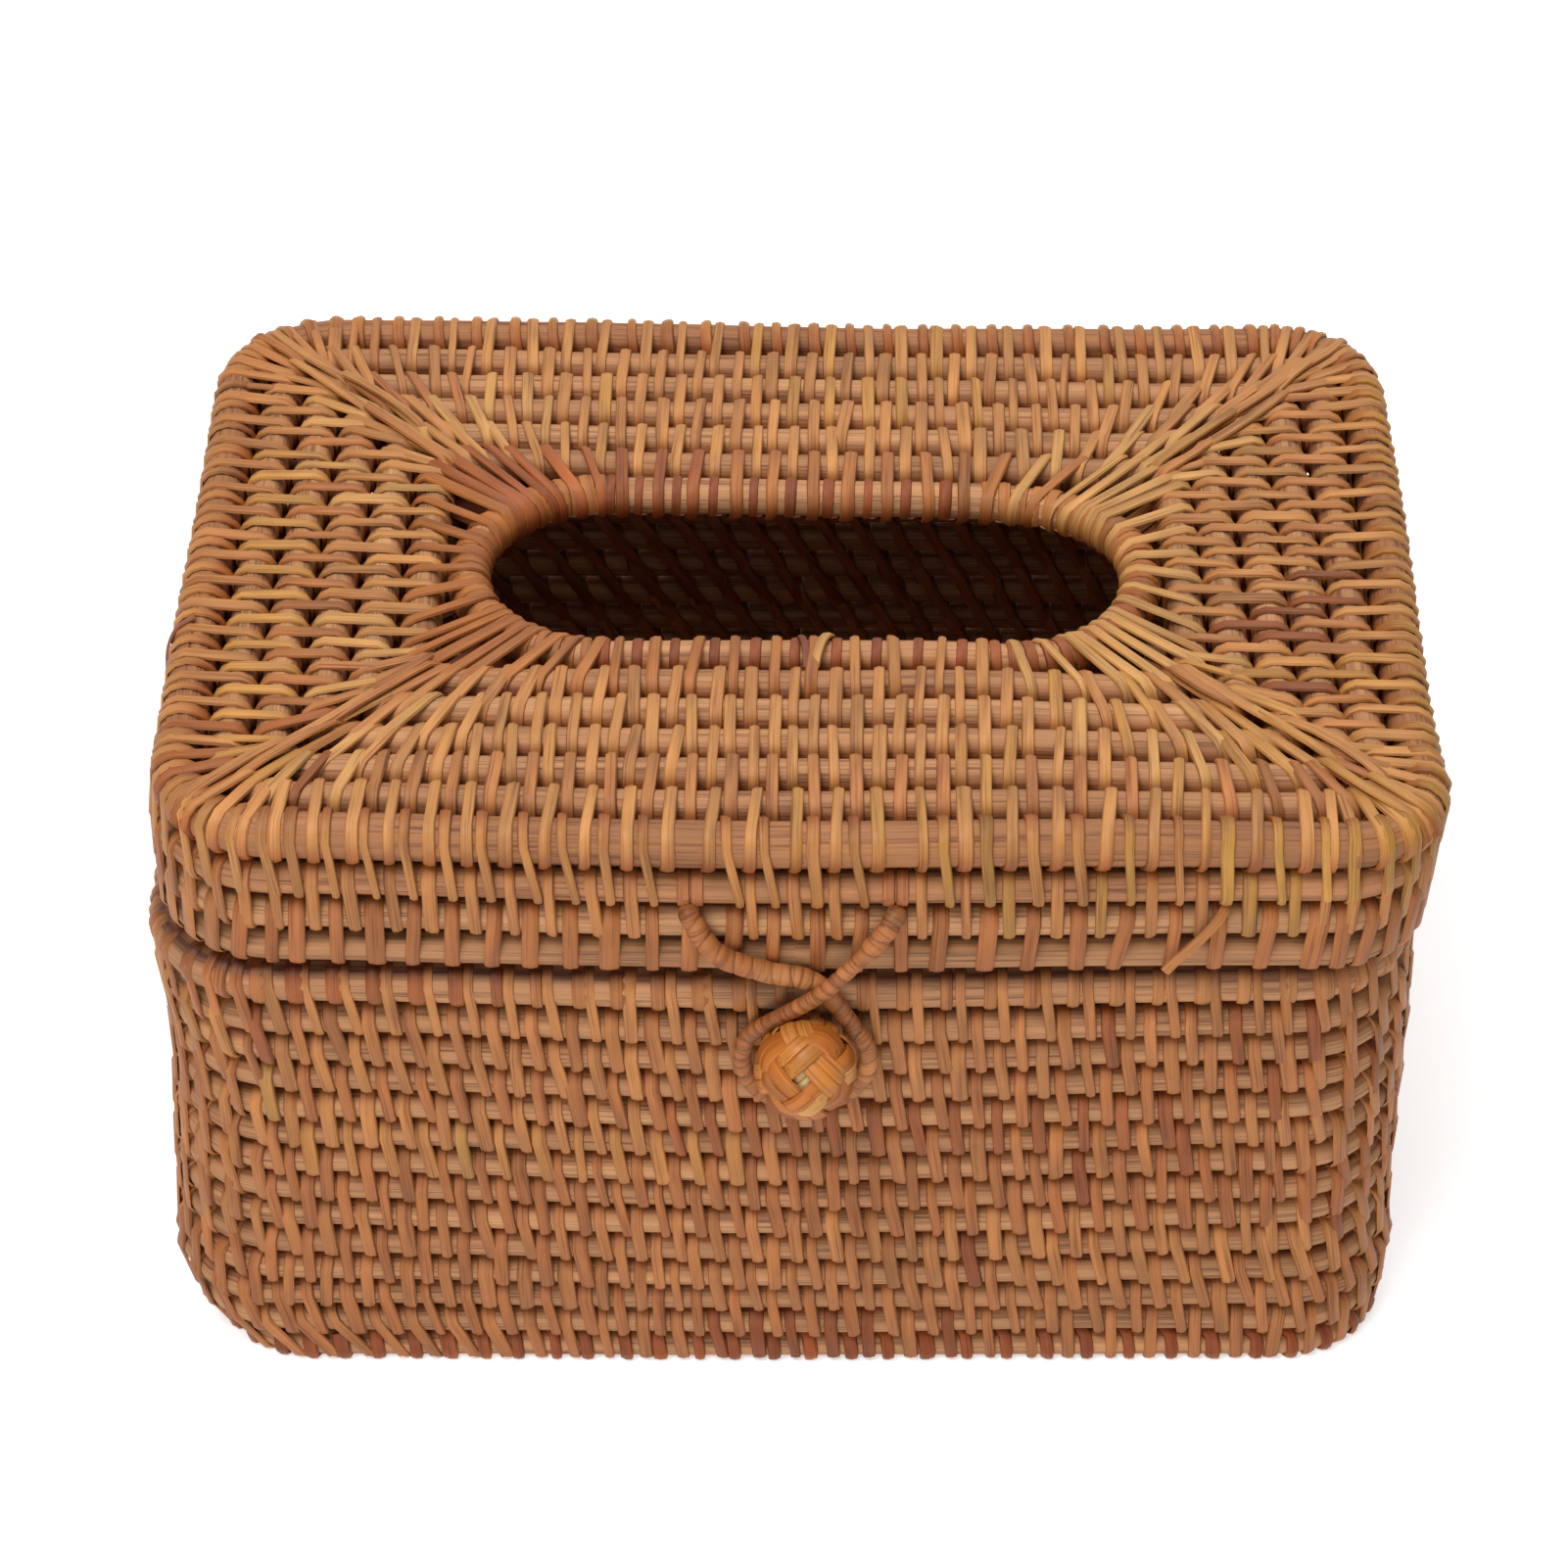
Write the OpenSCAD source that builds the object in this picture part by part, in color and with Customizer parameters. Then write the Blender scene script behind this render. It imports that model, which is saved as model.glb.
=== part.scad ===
// Woven rattan tissue box with a hinged lid.
// Hoops of round cane are stacked and nested, and bound to each other with thin cane strips.
// The lid has a slot for the tissues. It turns at the back about the base's rim hoop, and a
// whipped loop on its front hooks round a knotted button on the base.
// Millimetres. X is right, Y runs from front to back, Z is up. The origin is on the table, under the
// middle of the box.

/* [Box] */
// Width over the cane hoops
box_w = 199.2; // [180:0.1:240]
// Depth over the cane hoops
box_d = 141.4; // [130:0.1:170]
// Outer radius of the four upright corners
corner_r = 20; // [16:0.5:26]

/* [Cane rods] */
// Diameter of the wall, floor edge and skirt hoops
wall_rod = 5.2; // [4.6:0.1:5.4]
// Diameter of the hoops in the lid's top
top_rod = 6; // [5.4:0.1:6.2]
// Least bend radius of the middle line of the hoops nested in the lid's top
top_bend = 6; // [5:0.5:9]
// Diameter of the rings in the floor
floor_rod = 6; // [5:0.1:6.4]
// Diameter of the hoop round the lid's top edge
edge_rod = 7.2; // [6:0.1:8]
// Diameter of the base's rim hoop, which the lid turns on
rim_rod = 7; // [6:0.1:7.4]

/* [Rows] */
// Height from one wall hoop to the next
row_pitch = 6.15; // [6.1:0.05:7]
// Height from the top wall hoop to the rim hoop
rim_pitch = 8.6; // [8.4:0.1:10]
// Height from one skirt hoop of the lid to the next
skirt_pitch = 6.8; // [6.7:0.1:7.4]
// Height from the top skirt hoop to the edge hoop
edge_pitch = 7.7; // [7.5:0.1:9]
// Depth of the flat that the bottom hoop stands on
foot_flat = 0.5; // [0.3:0.1:0.8]
// Gap between the floor's bindings and the table
floor_gap = 0.35; // [0.2:0.05:0.4]
// Least gap between two rods that lie side by side in the top or in the floor
rod_gap = 0.75; // [0.7:0.05:1]
// Gap between the closed lid's bindings and the rim's
lid_gap = 0.35; // [0.3:0.05:1.2]

/* [Slot] */
// Length of the tissue slot
slot_w = 103; // [90:1:110]
// Width of the tissue slot
slot_d = 39; // [30:1:40]

/* [Bindings] */
// Width of a binding strip
strip_w = 2.1; // [1.6:0.1:2.4]
// Thickness of a binding strip
strip_t = 0.6; // [0.4:0.05:0.65]
// Distance from one drawn stitch to the next on a seam
stitch_gap = 31.5; // [25:0.5:45]
// Space between a strip and the rod that it goes round
strip_fit = 0.05; // [0.03:0.01:0.1]

/* [Hinge] */
// Distance of each lashing's middle from the box's middle
lashing_x = 48; // [40:1:60]
// Turns of strip in one lashing
lashing_turns = 6; // [4:1:8]
// Distance from one turn of a lashing to the next
lashing_pitch = 2.3; // [2.3:0.1:3]
// Running clearance round the rim hoop
hinge_fit = 0.06; // [0.03:0.01:0.1]

/* [Clasp] */
// Radius of the knotted button
button_r = 8.2; // [7:0.1:9]
// Distance of the button's middle from the box's middle
button_x = 1.75; // [-3:0.25:3]
// Height of the button's middle over the table
button_z = 79.4; // [78.5:0.1:80.5]
// Gap between the button and the wall's bindings
button_gap = 0.3; // [0.3:0.1:1]
// Diameter of the loop's whipped strand
loop_d = 2.8; // [2.2:0.1:3.2]
// Gap between the loop and the button, and between the loop and the wall
loop_gap = 0.35; // [0.3:0.05:0.6]
// Distance of each end of the loop from the middle between them
loop_eye_x = 15.6; // [14:0.1:18]
// Distance of the middle between the loop's ends from the box's middle
loop_mid_x = -0.25; // [-3:0.25:3]
// Distance of the place where the loop's legs cross from the box's middle
cross_x = 3.25; // [1:0.25:5]

/* [Hidden] */
WALL_ROWS = 13;
SKIRT_ROWS = 3;
TOP_RINGS = 5;
FLOOR_RINGS = 8;
$fn = 48;
ROD_COLOUR = "#C79C72";
STRIP_COLOUR = "#C58748";
KNOT_COLOUR = "#CC7C36";
overrun = 1;

// Hoops are bent to the nearest step of this size, so that their runs and bends meet end to end.
bend_step = 0.02;
function to_step(x) = round(x / bend_step) * bend_step;
// A hoop is [width, depth and corner radius of its middle line, height, diameter of its rod].
function bent(w, d, r, z, rod) = [to_step(w), to_step(d), to_step(r), z, rod];
function outer_hoop(z, rod) = bent(box_w - rod, box_d - rod, corner_r - rod / 2, z, rod);
function half_side(h, side) = (side % 2 == 0 ? h[1] : h[0]) / 2;
function straight(h, side) = (side % 2 == 0 ? h[0] : h[1]) - 2 * h[2];

// Heights
foot_z = wall_rod / 2 - foot_flat;
function wall_z(row) = foot_z + (WALL_ROWS - row) * row_pitch;
rim_z = wall_z(1) + rim_pitch;
strip_out = strip_fit + strip_t;
function skirt_z(row) = rim_z + rim_rod / 2 + wall_rod / 2 + 2 * strip_out + lid_gap
    + (SKIRT_ROWS - row) * skirt_pitch;
edge_z = skirt_z(1) + edge_pitch;

// Hoops
rim = outer_hoop(rim_z, rim_rod);
walls = [for (row = [1:WALL_ROWS]) outer_hoop(wall_z(row), wall_rod)];
foot = walls[WALL_ROWS - 1];
// Where the room between the box's side and the slot is short, all the rods of the top are thinner
top_share = min(1, (min(box_w - slot_w, box_d - slot_d) / 2 - (TOP_RINGS + 1) * rod_gap)
    / (edge_rod + (TOP_RINGS + 1) * top_rod));
edge_d = edge_rod * top_share;
ring_d = top_rod * top_share;
edge = outer_hoop(edge_z, edge_d);
skirts = [for (row = [1:SKIRT_ROWS]) outer_hoop(skirt_z(row), wall_rod)];
slot_rim = bent(slot_w + ring_d, slot_d + ring_d, (slot_d + ring_d) / 2, edge_z, ring_d);

// The top's rings share out the room between the edge hoop and the slot's rim, in x and in y
ring_gaps = [for (i = [0, 1])
    ((edge[i] - slot_rim[i] - edge_d - ring_d) / 2 - TOP_RINGS * ring_d) / (TOP_RINGS + 1)];
function ring_inset(k, i) = (edge_d - ring_d) / 2 + k * (ring_d + ring_gaps[i]);
tops = [for (k = [1:TOP_RINGS]) bent(
    edge[0] - 2 * ring_inset(k, 0), edge[1] - 2 * ring_inset(k, 1),
    max(edge[2] - ring_inset(k, 0), top_bend), edge_z, ring_d
)];

// The floor's rings share out the room between the foot hoop and the middle rod
floor_pitch = foot[1] / 2 / (FLOOR_RINGS + 1);
floor_ring_d = min(floor_rod, floor_pitch - rod_gap);
floor_z = floor_ring_d / 2 + strip_out + floor_gap;
floor_bar = foot[0] - foot[1];
floor_corner_share = 0.85;
function floor_ring(k) = bent(
    foot[0] - 2 * k * floor_pitch, foot[1] - 2 * k * floor_pitch,
    min(foot[2], (foot[1] / 2 - k * floor_pitch) * floor_corner_share), floor_z, floor_ring_d
);
floors = [for (k = [1:FLOOR_RINGS]) floor_ring(k)];

// Clasp
wall_face = box_d / 2 + strip_out;
button_y = -(wall_face + button_gap + button_r);
eye_y = -half_side(skirts[0], 0);
eye_z = skirts[0][3];
eye_r = wall_rod / 2 + hinge_fit;
loop_y = -(wall_face + loop_gap + loop_d / 2);
loop_r = button_r + loop_gap + loop_d / 2;
button_reach = sqrt(pow(button_y - eye_y, 2) + pow(button_z - eye_z, 2));
loop_z = eye_z - sqrt(pow(button_reach, 2) - pow(loop_y - eye_y, 2));
function eye_x(m) = loop_mid_x + m * loop_eye_x;
LEAVE_ANGLE = 40;
CROSS_RISE = loop_r * (sin(LEAVE_ANGLE) + cos(LEAVE_ANGLE) * cos(LEAVE_ANGLE) / sin(LEAVE_ANGLE));
LOOP_STEP = 20;
LOOP_SIDES = 8;
EYE_DROP = 45;
strap_t = 1.2;
strap_w = 5;
strap_bite = 3;
strap_z = (wall_z(1) + wall_rod / 2 + rim_z - rim_rod / 2) / 2;
strap_tail = 9;
button_hole_r = 1.1;
button_hole_depth = 3;

// One closed hoop of round cane: straight runs, and four quarter bends or a half bend at each end
module hoop(h) {
    round_ends = straight(h, 1) < bend_step;
    for (side = round_ends ? [0, 2] : [0:3])
        rotate([0, 0, 90 * side]) translate([0, -half_side(h, side), h[3]]) rotate([0, 90, 0])
            cylinder(d = h[4], h = straight(h, side), center = true);
    for (m = [0, 1]) mirror([m, 0, 0])
        for (n = round_ends ? [0] : [0, 1]) mirror([0, n, 0])
            translate([h[0] / 2 - h[2], round_ends ? 0 : h[1] / 2 - h[2], h[3]])
                rotate([0, 0, round_ends ? -90 : 0])
                    rotate_extrude(angle = round_ends ? 180 : 90) translate([h[2], 0]) circle(d = h[4]);
}

// Outline round two rods that lie far apart: a round end on each and a straight side along both.
// The straight sides lie a hair inside the round ends, so that they cut them at clear points.
HAIR = 0.01;
module outline(ra, rb, far) {
    lean = asin((ra - rb) / far);
    near_a = [(ra - HAIR) * sin(lean), (ra - HAIR) * cos(lean)];
    near_b = [far + (rb - HAIR) * sin(lean), (rb - HAIR) * cos(lean)];
    circle(r = ra);
    translate([far, 0]) circle(r = rb);
    polygon([near_a, near_b, [near_b[0], -near_b[1]], [near_a[0], -near_a[1]]]);
}

// One turn of strip round rod a and rod b. Each is [distance out, height, radius of the strip's inside]
module turn(a, b, width) {
    out = b[0] - a[0];
    up = b[1] - a[1];
    far = sqrt(out * out + up * up);
    translate([0, -a[0], a[1]]) rotate([atan2(up, -out), 0, 0]) rotate([0, 0, 90]) rotate([90, 0, 0])
        linear_extrude(width, center = true) difference() {
            outline(a[2] + strip_t, b[2] + strip_t, far);
            outline(a[2], b[2], far);
        }
}

// The drawn stitches of the seam between two hoops. skips holds [side, low x, high x] to leave clear
module seam(a, b, shift, skips = [], gap = stitch_gap) {
    for (side = [0:3]) {
        room = (min(straight(a, side), straight(b, side)) - strip_w) / 2;
        count = ceil(room / gap);
        for (i = [-count:count]) {
            x = (i + shift) * gap;
            skipped = [for (s = skips) if (s[0] == side && x > s[1] && x < s[2]) 1];
            if (abs(x) <= room && len(skipped) == 0)
                rotate([0, 0, 90 * side]) translate([x, 0, 0]) turn(
                    [half_side(a, side), a[3], a[4] / 2 + strip_fit],
                    [half_side(b, side), b[3], b[4] / 2 + strip_fit], strip_w
                );
        }
    }
}

// Cuts off what would reach below the given height over the table
module on_table(over = 0) {
    below = foot_z + overrun;
    difference() {
        children();
        translate([-box_w, -box_d, over - below]) cube([2 * box_w, 2 * box_d, below]);
    }
}

// Stitches of four seams in a row stand apart, so that none meets another in the gap between hoops.
function stagger(k) = (k % 4) / 4;
module wall_seams(first, last) {
    for (k = [first:last]) seam(walls[k - 1], walls[k], stagger(k));
}

front_skips = [for (m = [-1, 1]) [
    0, eye_x(m) - loop_d - strip_w, eye_x(m) + loop_d + strip_w
]];
lashing_half = (lashing_turns - 1) * lashing_pitch / 2 + strip_w;
// The back is seen turned round, so its x runs the other way
back_skips = [for (m = [-1, 1]) [
    2, m * lashing_x - lashing_half - strip_w, m * lashing_x + lashing_half + strip_w
]];
strap_skips = [[0, button_x - strap_w, button_x + strap_w]];

module base_rim_hoop() { color(ROD_COLOUR) hoop(rim); }
module wall_hoop(row) { color(ROD_COLOUR) hoop(walls[row - 1]); }
module foot_hoop() { color(ROD_COLOUR) on_table() hoop(foot); }
module floor_ring_hoop(k) { color(ROD_COLOUR) hoop(floors[k - 1]); }
module floor_middle_rod() {
    color(ROD_COLOUR) translate([0, 0, floor_z]) rotate([0, 90, 0])
        cylinder(d = floor_ring_d, h = floor_bar, center = true);
}
module rim_binding() {
    color(STRIP_COLOUR) seam(rim, walls[0], stagger(0), concat(back_skips, strap_skips));
}
module wall_binding(first, last) { color(STRIP_COLOUR) on_table(strip_fit) wall_seams(first, last); }
module floor_binding() {
    color(STRIP_COLOUR) on_table(strip_fit) {
        seam(foot, floors[0], stagger(WALL_ROWS));
        for (k = [1:FLOOR_RINGS - 1]) seam(floors[k - 1], floors[k], stagger(WALL_ROWS + k));
        for (side = [0, 2]) for (m = [-1, 1])
            rotate([0, 0, 90 * side]) translate([m * (stitch_gap / 4 + side * strip_w), 0, 0]) turn(
                [half_side(floors[FLOOR_RINGS - 1], side), floor_z, floor_ring_d / 2 + strip_fit],
                [0, floor_z, floor_ring_d / 2 + strip_fit], strip_w
            );
    }
}
module lid_edge_hoop() { color(ROD_COLOUR) hoop(edge); }
module skirt_hoop(row) { color(ROD_COLOUR) hoop(skirts[row - 1]); }
module top_ring(k) { color(ROD_COLOUR) hoop(tops[k - 1]); }
module slot_rim_hoop() { color(ROD_COLOUR) hoop(slot_rim); }
module edge_binding() {
    color(STRIP_COLOUR) {
        seam(edge, skirts[0], stagger(1), front_skips);
        seam(edge, tops[0], stagger(2));
    }
}
module skirt_binding() {
    color(STRIP_COLOUR) {
        seam(skirts[0], skirts[1], stagger(2), front_skips);
        seam(skirts[1], skirts[2], stagger(3), back_skips);
    }
}
module top_binding(first, last) {
    color(STRIP_COLOUR) for (k = [first:last]) seam(tops[k - 1], tops[k], stagger(k + 2));
}
module slot_binding() {
    color(STRIP_COLOUR) seam(tops[TOP_RINGS - 1], slot_rim, 0, [], stitch_gap / 3);
}

// Turns of strip at the back that hold the lid's lowest hoop and run loose round the rim hoop
module hinge_lashings() {
    color(STRIP_COLOUR) for (m = [-1, 1]) for (i = [0:lashing_turns - 1])
        rotate([0, 0, 180])
            translate([m * lashing_x + (i - (lashing_turns - 1) / 2) * lashing_pitch, 0, 0]) turn(
                [half_side(rim, 2), rim_z, rim_rod / 2 + hinge_fit],
                [half_side(skirts[2], 2), skirts[2][3], wall_rod / 2 + strip_fit], strip_w
            );
}

// The loop's middle line: from the left eye under the crossing, round the button and back over it
function eye_start(m) = [
    for (reach = [eye_r + strip_t / 2, eye_r + strip_t + loop_d])
        [eye_x(m), eye_y - reach * cos(EYE_DROP), eye_z - reach * sin(EYE_DROP)]
];
function round_button(a) = [button_x + loop_r * cos(a), loop_y, loop_z + loop_r * sin(a)];
cross_lift = loop_d + loop_gap;
slack_shares = [[0.78, 0.86], [0.45, 0.42]];
function strand(m, lift) = [for (s = slack_shares) [
    cross_x + (eye_x(m) - cross_x) * s[0], loop_y - lift * (1 - s[0]),
    loop_z + CROSS_RISE + (eye_start(1)[1][2] - loop_z - CROSS_RISE) * s[1]
]];
loop_route = concat(
    eye_start(-1), strand(-1, 0), [[cross_x, loop_y, loop_z + CROSS_RISE]],
    [for (a = [LEAVE_ANGLE:-LOOP_STEP:LEAVE_ANGLE - 260]) round_button(a)],
    [[cross_x, loop_y - cross_lift, loop_z + CROSS_RISE]],
    [for (i = [1, 0]) strand(1, cross_lift)[i]], [for (i = [1, 0]) eye_start(1)[i]]
);

// A smooth line through a route's points, with some steps on each stretch
SMOOTH_STEPS = 3;
function between(p, q, r, s, t) = 0.5 * (
    2 * q + (r - p) * t + (2 * p - 5 * q + 4 * r - s) * t * t + (3 * q - p - 3 * r + s) * t * t * t
);
function smooth(route) = [
    for (i = [0:len(route) - 2]) for (j = [0:SMOOTH_STEPS - 1]) between(
        route[max(i - 1, 0)], route[i], route[i + 1], route[min(i + 2, len(route) - 1)], j / SMOOTH_STEPS
    ),
    route[len(route) - 1]
];
function unit(v) = v / norm(v);
function heading(line, i) = unit(line[min(i + 1, len(line) - 1)] - line[max(i - 1, 0)]);
// A side direction carried along the line, so that the tube doesn't twist
function sides(line, i = 0, last = [1, 0, 0]) = i == len(line) ? [] :
    let (h = heading(line, i), n = unit(last - h * (last * h))) concat([n], sides(line, i + 1, n));

module tube(line, d, count) {
    n = sides(line);
    rings = [for (i = [0:len(line) - 1]) for (k = [0:count - 1])
        let (a = 360 * k / count, up = cross(heading(line, i), n[i]))
            line[i] + d / 2 * (n[i] * cos(a) + up * sin(a))];
    last = (len(line) - 1) * count;
    faces = concat(
        [for (k = [1:count - 2]) [0, k, k + 1]],
        [for (k = [1:count - 2]) [last, last + k + 1, last + k]],
        [for (i = [0:len(line) - 2]) for (k = [0:count - 1]) for (half = [0, 1])
            let (a = i * count + k, b = i * count + (k + 1) % count)
                half == 0 ? [a, a + count, b] : [b, a + count, b + count]]
    );
    polyhedron(rings, faces);
}

module clasp_loop() {
    color(KNOT_COLOUR) {
        tube(smooth(loop_route), loop_d, LOOP_SIDES);
        for (m = [-1, 1]) translate([eye_x(m), eye_y, eye_z]) rotate([0, 90, 0])
            rotate_extrude() translate([eye_r, -strip_w / 2]) square([strip_t, strip_w]);
    }
}

// A ball woven of paired flat strips: three double bands go round it, over and under each other.
// far_out gives the ball's radius in a direction, as a share: each band is raised where it lies on top,
// and a groove parts its two strips.
BAND_AXES = [[0, 1, 1], [0, -1, 1], [1, 0.25, 0.25]];
band_half_share = 0.42;
groove_share = 0.05;
step_share = 0.05;
function along(u, i) = abs(u * unit(BAND_AXES[i]));
function band_top(u, i) = along(u, i) > band_half_share ? 0
    : (along(u, i) < groove_share ? 0.5 : 1) - 0.5 * step_side(u, i);
function step_side(u, i) = u * unit(BAND_AXES[(i + 1) % 3]) > 0 ? 1 : 0;
function far_out(u) = 1 - step_share * (1 - max([for (i = [0:2]) band_top(u, i)]));
KNOT_ROUND = 36;
KNOT_TALL = 18;
module button_knot() {
    points = concat(
        [[0, 0, button_r * (1 - step_share)]],
        [for (i = [1:KNOT_TALL - 1]) for (k = [0:KNOT_ROUND - 1])
            let (a = 180 * i / KNOT_TALL, b = 360 * k / KNOT_ROUND)
                let (u = [sin(a) * cos(b), sin(a) * sin(b), cos(a)]) button_r * far_out(u) * u],
        [[0, 0, -button_r * (1 - step_share)]]
    );
    last = len(points) - 1;
    function at(i, k) = 1 + (i - 1) * KNOT_ROUND + k % KNOT_ROUND;
    faces = concat(
        [for (k = [0:KNOT_ROUND - 1]) [0, at(1, k + 1), at(1, k)]],
        [for (i = [1:KNOT_TALL - 2]) for (k = [0:KNOT_ROUND - 1]) for (half = [0, 1])
            let (here = at(i, k), beside = at(i, k + 1), below = at(i + 1, k))
                half == 0 ? [here, beside, below] : [beside, at(i + 1, k + 1), below]],
        [for (k = [0:KNOT_ROUND - 1]) [last, at(KNOT_TALL - 1, k), at(KNOT_TALL - 1, k + 1)]]
    );
    color(KNOT_COLOUR) difference() {
        translate([button_x, button_y, button_z]) rotate([90, 0, 0]) polyhedron(points, faces);
        translate([button_x, button_y - button_r - overrun, button_z]) rotate([-90, 0, 0])
            cylinder(r = button_hole_r, h = button_hole_depth + overrun);
        translate([
            button_x - strap_w / 2 - strip_fit, button_y + button_r - strap_bite - strip_fit,
            strap_z - strap_t / 2 - strip_fit
        ]) cube([strap_w + 2 * strip_fit, strap_bite + overrun, strap_t + 2 * strip_fit]);
    }
}

// The strip that holds the button: through the gap under the rim hoop and down inside the wall
module button_strap() {
    inside = -(box_d / 2 - rim_rod - strip_out);
    color(KNOT_COLOUR) {
        translate([button_x - strap_w / 2, button_y + button_r - strap_bite, strap_z - strap_t / 2])
            cube([strap_w, inside + strap_t - button_y - button_r + strap_bite, strap_t]);
        translate([button_x - strap_w / 2, inside, strap_z + strap_t / 2 - strap_tail])
            cube([strap_w, strap_t, strap_tail]);
    }
}

base_rim_hoop();
wall_hoop(1);  // wall_hoop_01
wall_hoop(2);  // wall_hoop_02
wall_hoop(3);  // wall_hoop_03
wall_hoop(4);  // wall_hoop_04
wall_hoop(5);  // wall_hoop_05
wall_hoop(6);  // wall_hoop_06
wall_hoop(7);  // wall_hoop_07
wall_hoop(8);  // wall_hoop_08
wall_hoop(9);  // wall_hoop_09
wall_hoop(10);  // wall_hoop_10
wall_hoop(11);  // wall_hoop_11
wall_hoop(12);  // wall_hoop_12
foot_hoop();
floor_ring_hoop(1);  // floor_ring_1
floor_ring_hoop(2);  // floor_ring_2
floor_ring_hoop(3);  // floor_ring_3
floor_ring_hoop(4);  // floor_ring_4
floor_ring_hoop(5);  // floor_ring_5
floor_ring_hoop(6);  // floor_ring_6
floor_ring_hoop(7);  // floor_ring_7
floor_ring_hoop(8);  // floor_ring_8
floor_middle_rod();
rim_binding();
wall_binding(1, 4);  // wall_binding_upper
wall_binding(5, 8);  // wall_binding_middle
wall_binding(9, 12);  // wall_binding_lower
floor_binding();
lid_edge_hoop();
skirt_hoop(1);  // skirt_hoop_1
skirt_hoop(2);  // skirt_hoop_2
skirt_hoop(3);  // skirt_hoop_3
top_ring(1);  // top_ring_1
top_ring(2);  // top_ring_2
top_ring(3);  // top_ring_3
top_ring(4);  // top_ring_4
top_ring(5);  // top_ring_5
slot_rim_hoop();
edge_binding();
skirt_binding();
top_binding(1, 2);  // top_binding_outer
top_binding(3, 4);  // top_binding_inner
slot_binding();
hinge_lashings();
clasp_loop();
button_knot();
button_strap();
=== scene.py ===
"""Looks of a woven rattan tissue box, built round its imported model.

Level hoops of round peeled cane are bound to each other with thin split strips. Each strip runs in a
spiral round two neighbouring hoops. The clasp is a whipped loop that goes round a ball woven of strips.
Sizes are in millimetres until a mesh is made, and metres from there on.
"""

import logging
import math
from dataclasses import dataclass, field, replace
from enum import Enum
from typing import Callable, Optional, Sequence

import bpy
import numpy as np
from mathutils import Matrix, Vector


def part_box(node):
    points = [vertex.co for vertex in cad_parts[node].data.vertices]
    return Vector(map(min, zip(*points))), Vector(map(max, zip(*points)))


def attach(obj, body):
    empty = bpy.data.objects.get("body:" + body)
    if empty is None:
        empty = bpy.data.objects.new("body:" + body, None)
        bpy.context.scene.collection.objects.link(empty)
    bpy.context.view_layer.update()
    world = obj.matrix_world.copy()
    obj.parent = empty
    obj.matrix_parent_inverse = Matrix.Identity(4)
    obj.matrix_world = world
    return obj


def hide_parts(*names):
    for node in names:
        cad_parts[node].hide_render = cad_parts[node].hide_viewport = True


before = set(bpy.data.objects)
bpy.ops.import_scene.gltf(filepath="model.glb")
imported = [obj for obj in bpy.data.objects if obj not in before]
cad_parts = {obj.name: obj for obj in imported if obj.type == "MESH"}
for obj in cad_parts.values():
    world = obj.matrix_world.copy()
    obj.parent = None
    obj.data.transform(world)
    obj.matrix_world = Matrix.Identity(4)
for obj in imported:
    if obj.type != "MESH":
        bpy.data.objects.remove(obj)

LOG = logging.getLogger("rattan_box")
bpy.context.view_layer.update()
MM = 0.001
UV_MM = 100.0  # one unit of a piece's UV map, in millimetres
Array = np.ndarray
UPWARD = np.array([0, 0, 1.0])


# Small helpers

def linear(hex_colour: str) -> tuple[float, float, float]:
    """Turns an sRGB hex colour into linear red, green and blue.

    Args:
        hex_colour: a colour such as "#C58748".

    Returns:
        The three linear values, from 0 to 1.
    """
    parts = [int(hex_colour[i:i + 2], 16) / 255 for i in (1, 3, 5)]
    return tuple(p / 12.92 if p <= 0.04045 else ((p + 0.055) / 1.055) ** 2.4 for p in parts)


def unit(v: Array) -> Array:
    """Scales each vector of an array to length one."""
    return v / np.maximum(np.linalg.norm(v, axis=-1, keepdims=True), 1e-12)


def dot(a: Array, b: Array) -> Array:
    """Gives the scalar product along the last axis, and keeps that axis."""
    return np.sum(a * b, axis=-1, keepdims=True)


def smooth_step(share: Array) -> Array:
    """Gives three times the square less twice the cube, level below nought and above one."""
    share = np.clip(share, 0, 1)
    return share * share * (3 - 2 * share)


def tube_faces(rings: int, sides: int, closed: bool = False) -> Array:
    """Numbers the faces of a tube whose points are numbered ring by ring.

    Args:
        rings: how many rings there are along the tube.
        sides: how many points a ring has.
        closed: whether the last ring joins the first one.

    Returns:
        The four points of each face, by ring and side.
    """
    i, k = np.meshgrid(np.arange(rings if closed else rings - 1), np.arange(sides), indexing="ij")
    i2, k2 = (i + 1) % rings, (k + 1) % sides
    return np.stack([i * sides + k, i * sides + k2, i2 * sides + k2, i2 * sides + k], axis=-1)


def circle(count: int) -> Array:
    """Gives the angles of evenly spaced points on a circle."""
    return 2 * math.pi * np.arange(count) / count


def spokes(angle: Array, first: Array, second: Array) -> Array:
    """Gives each angle's cosine times the first direction plus its sine times the second one."""
    return np.cos(angle)[None, :, None] * first + np.sin(angle)[None, :, None] * second


def lengths_along(line: Array) -> Array:
    """Gives each point's distance from the start of a line, measured along it."""
    return np.concatenate([[0], np.cumsum(np.linalg.norm(np.diff(line, axis=0), axis=1))])


def one_colour(colour: str, count: int) -> Array:
    """Gives the tint of one stretch of strip, the same at all of its sections."""
    return np.broadcast_to(np.array(linear(colour)), (1, count, 3))


def numbered(stem: str, count: int) -> list[str]:
    """Gives the names of nodes that are numbered from one on."""
    return [f"{stem}_{k}" for k in range(1, count + 1)]


def box_mm(node: str) -> tuple[Array, Array]:
    """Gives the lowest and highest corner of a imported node, in millimetres."""
    low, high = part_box(node)
    return np.array(low) / MM, np.array(high) / MM


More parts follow.
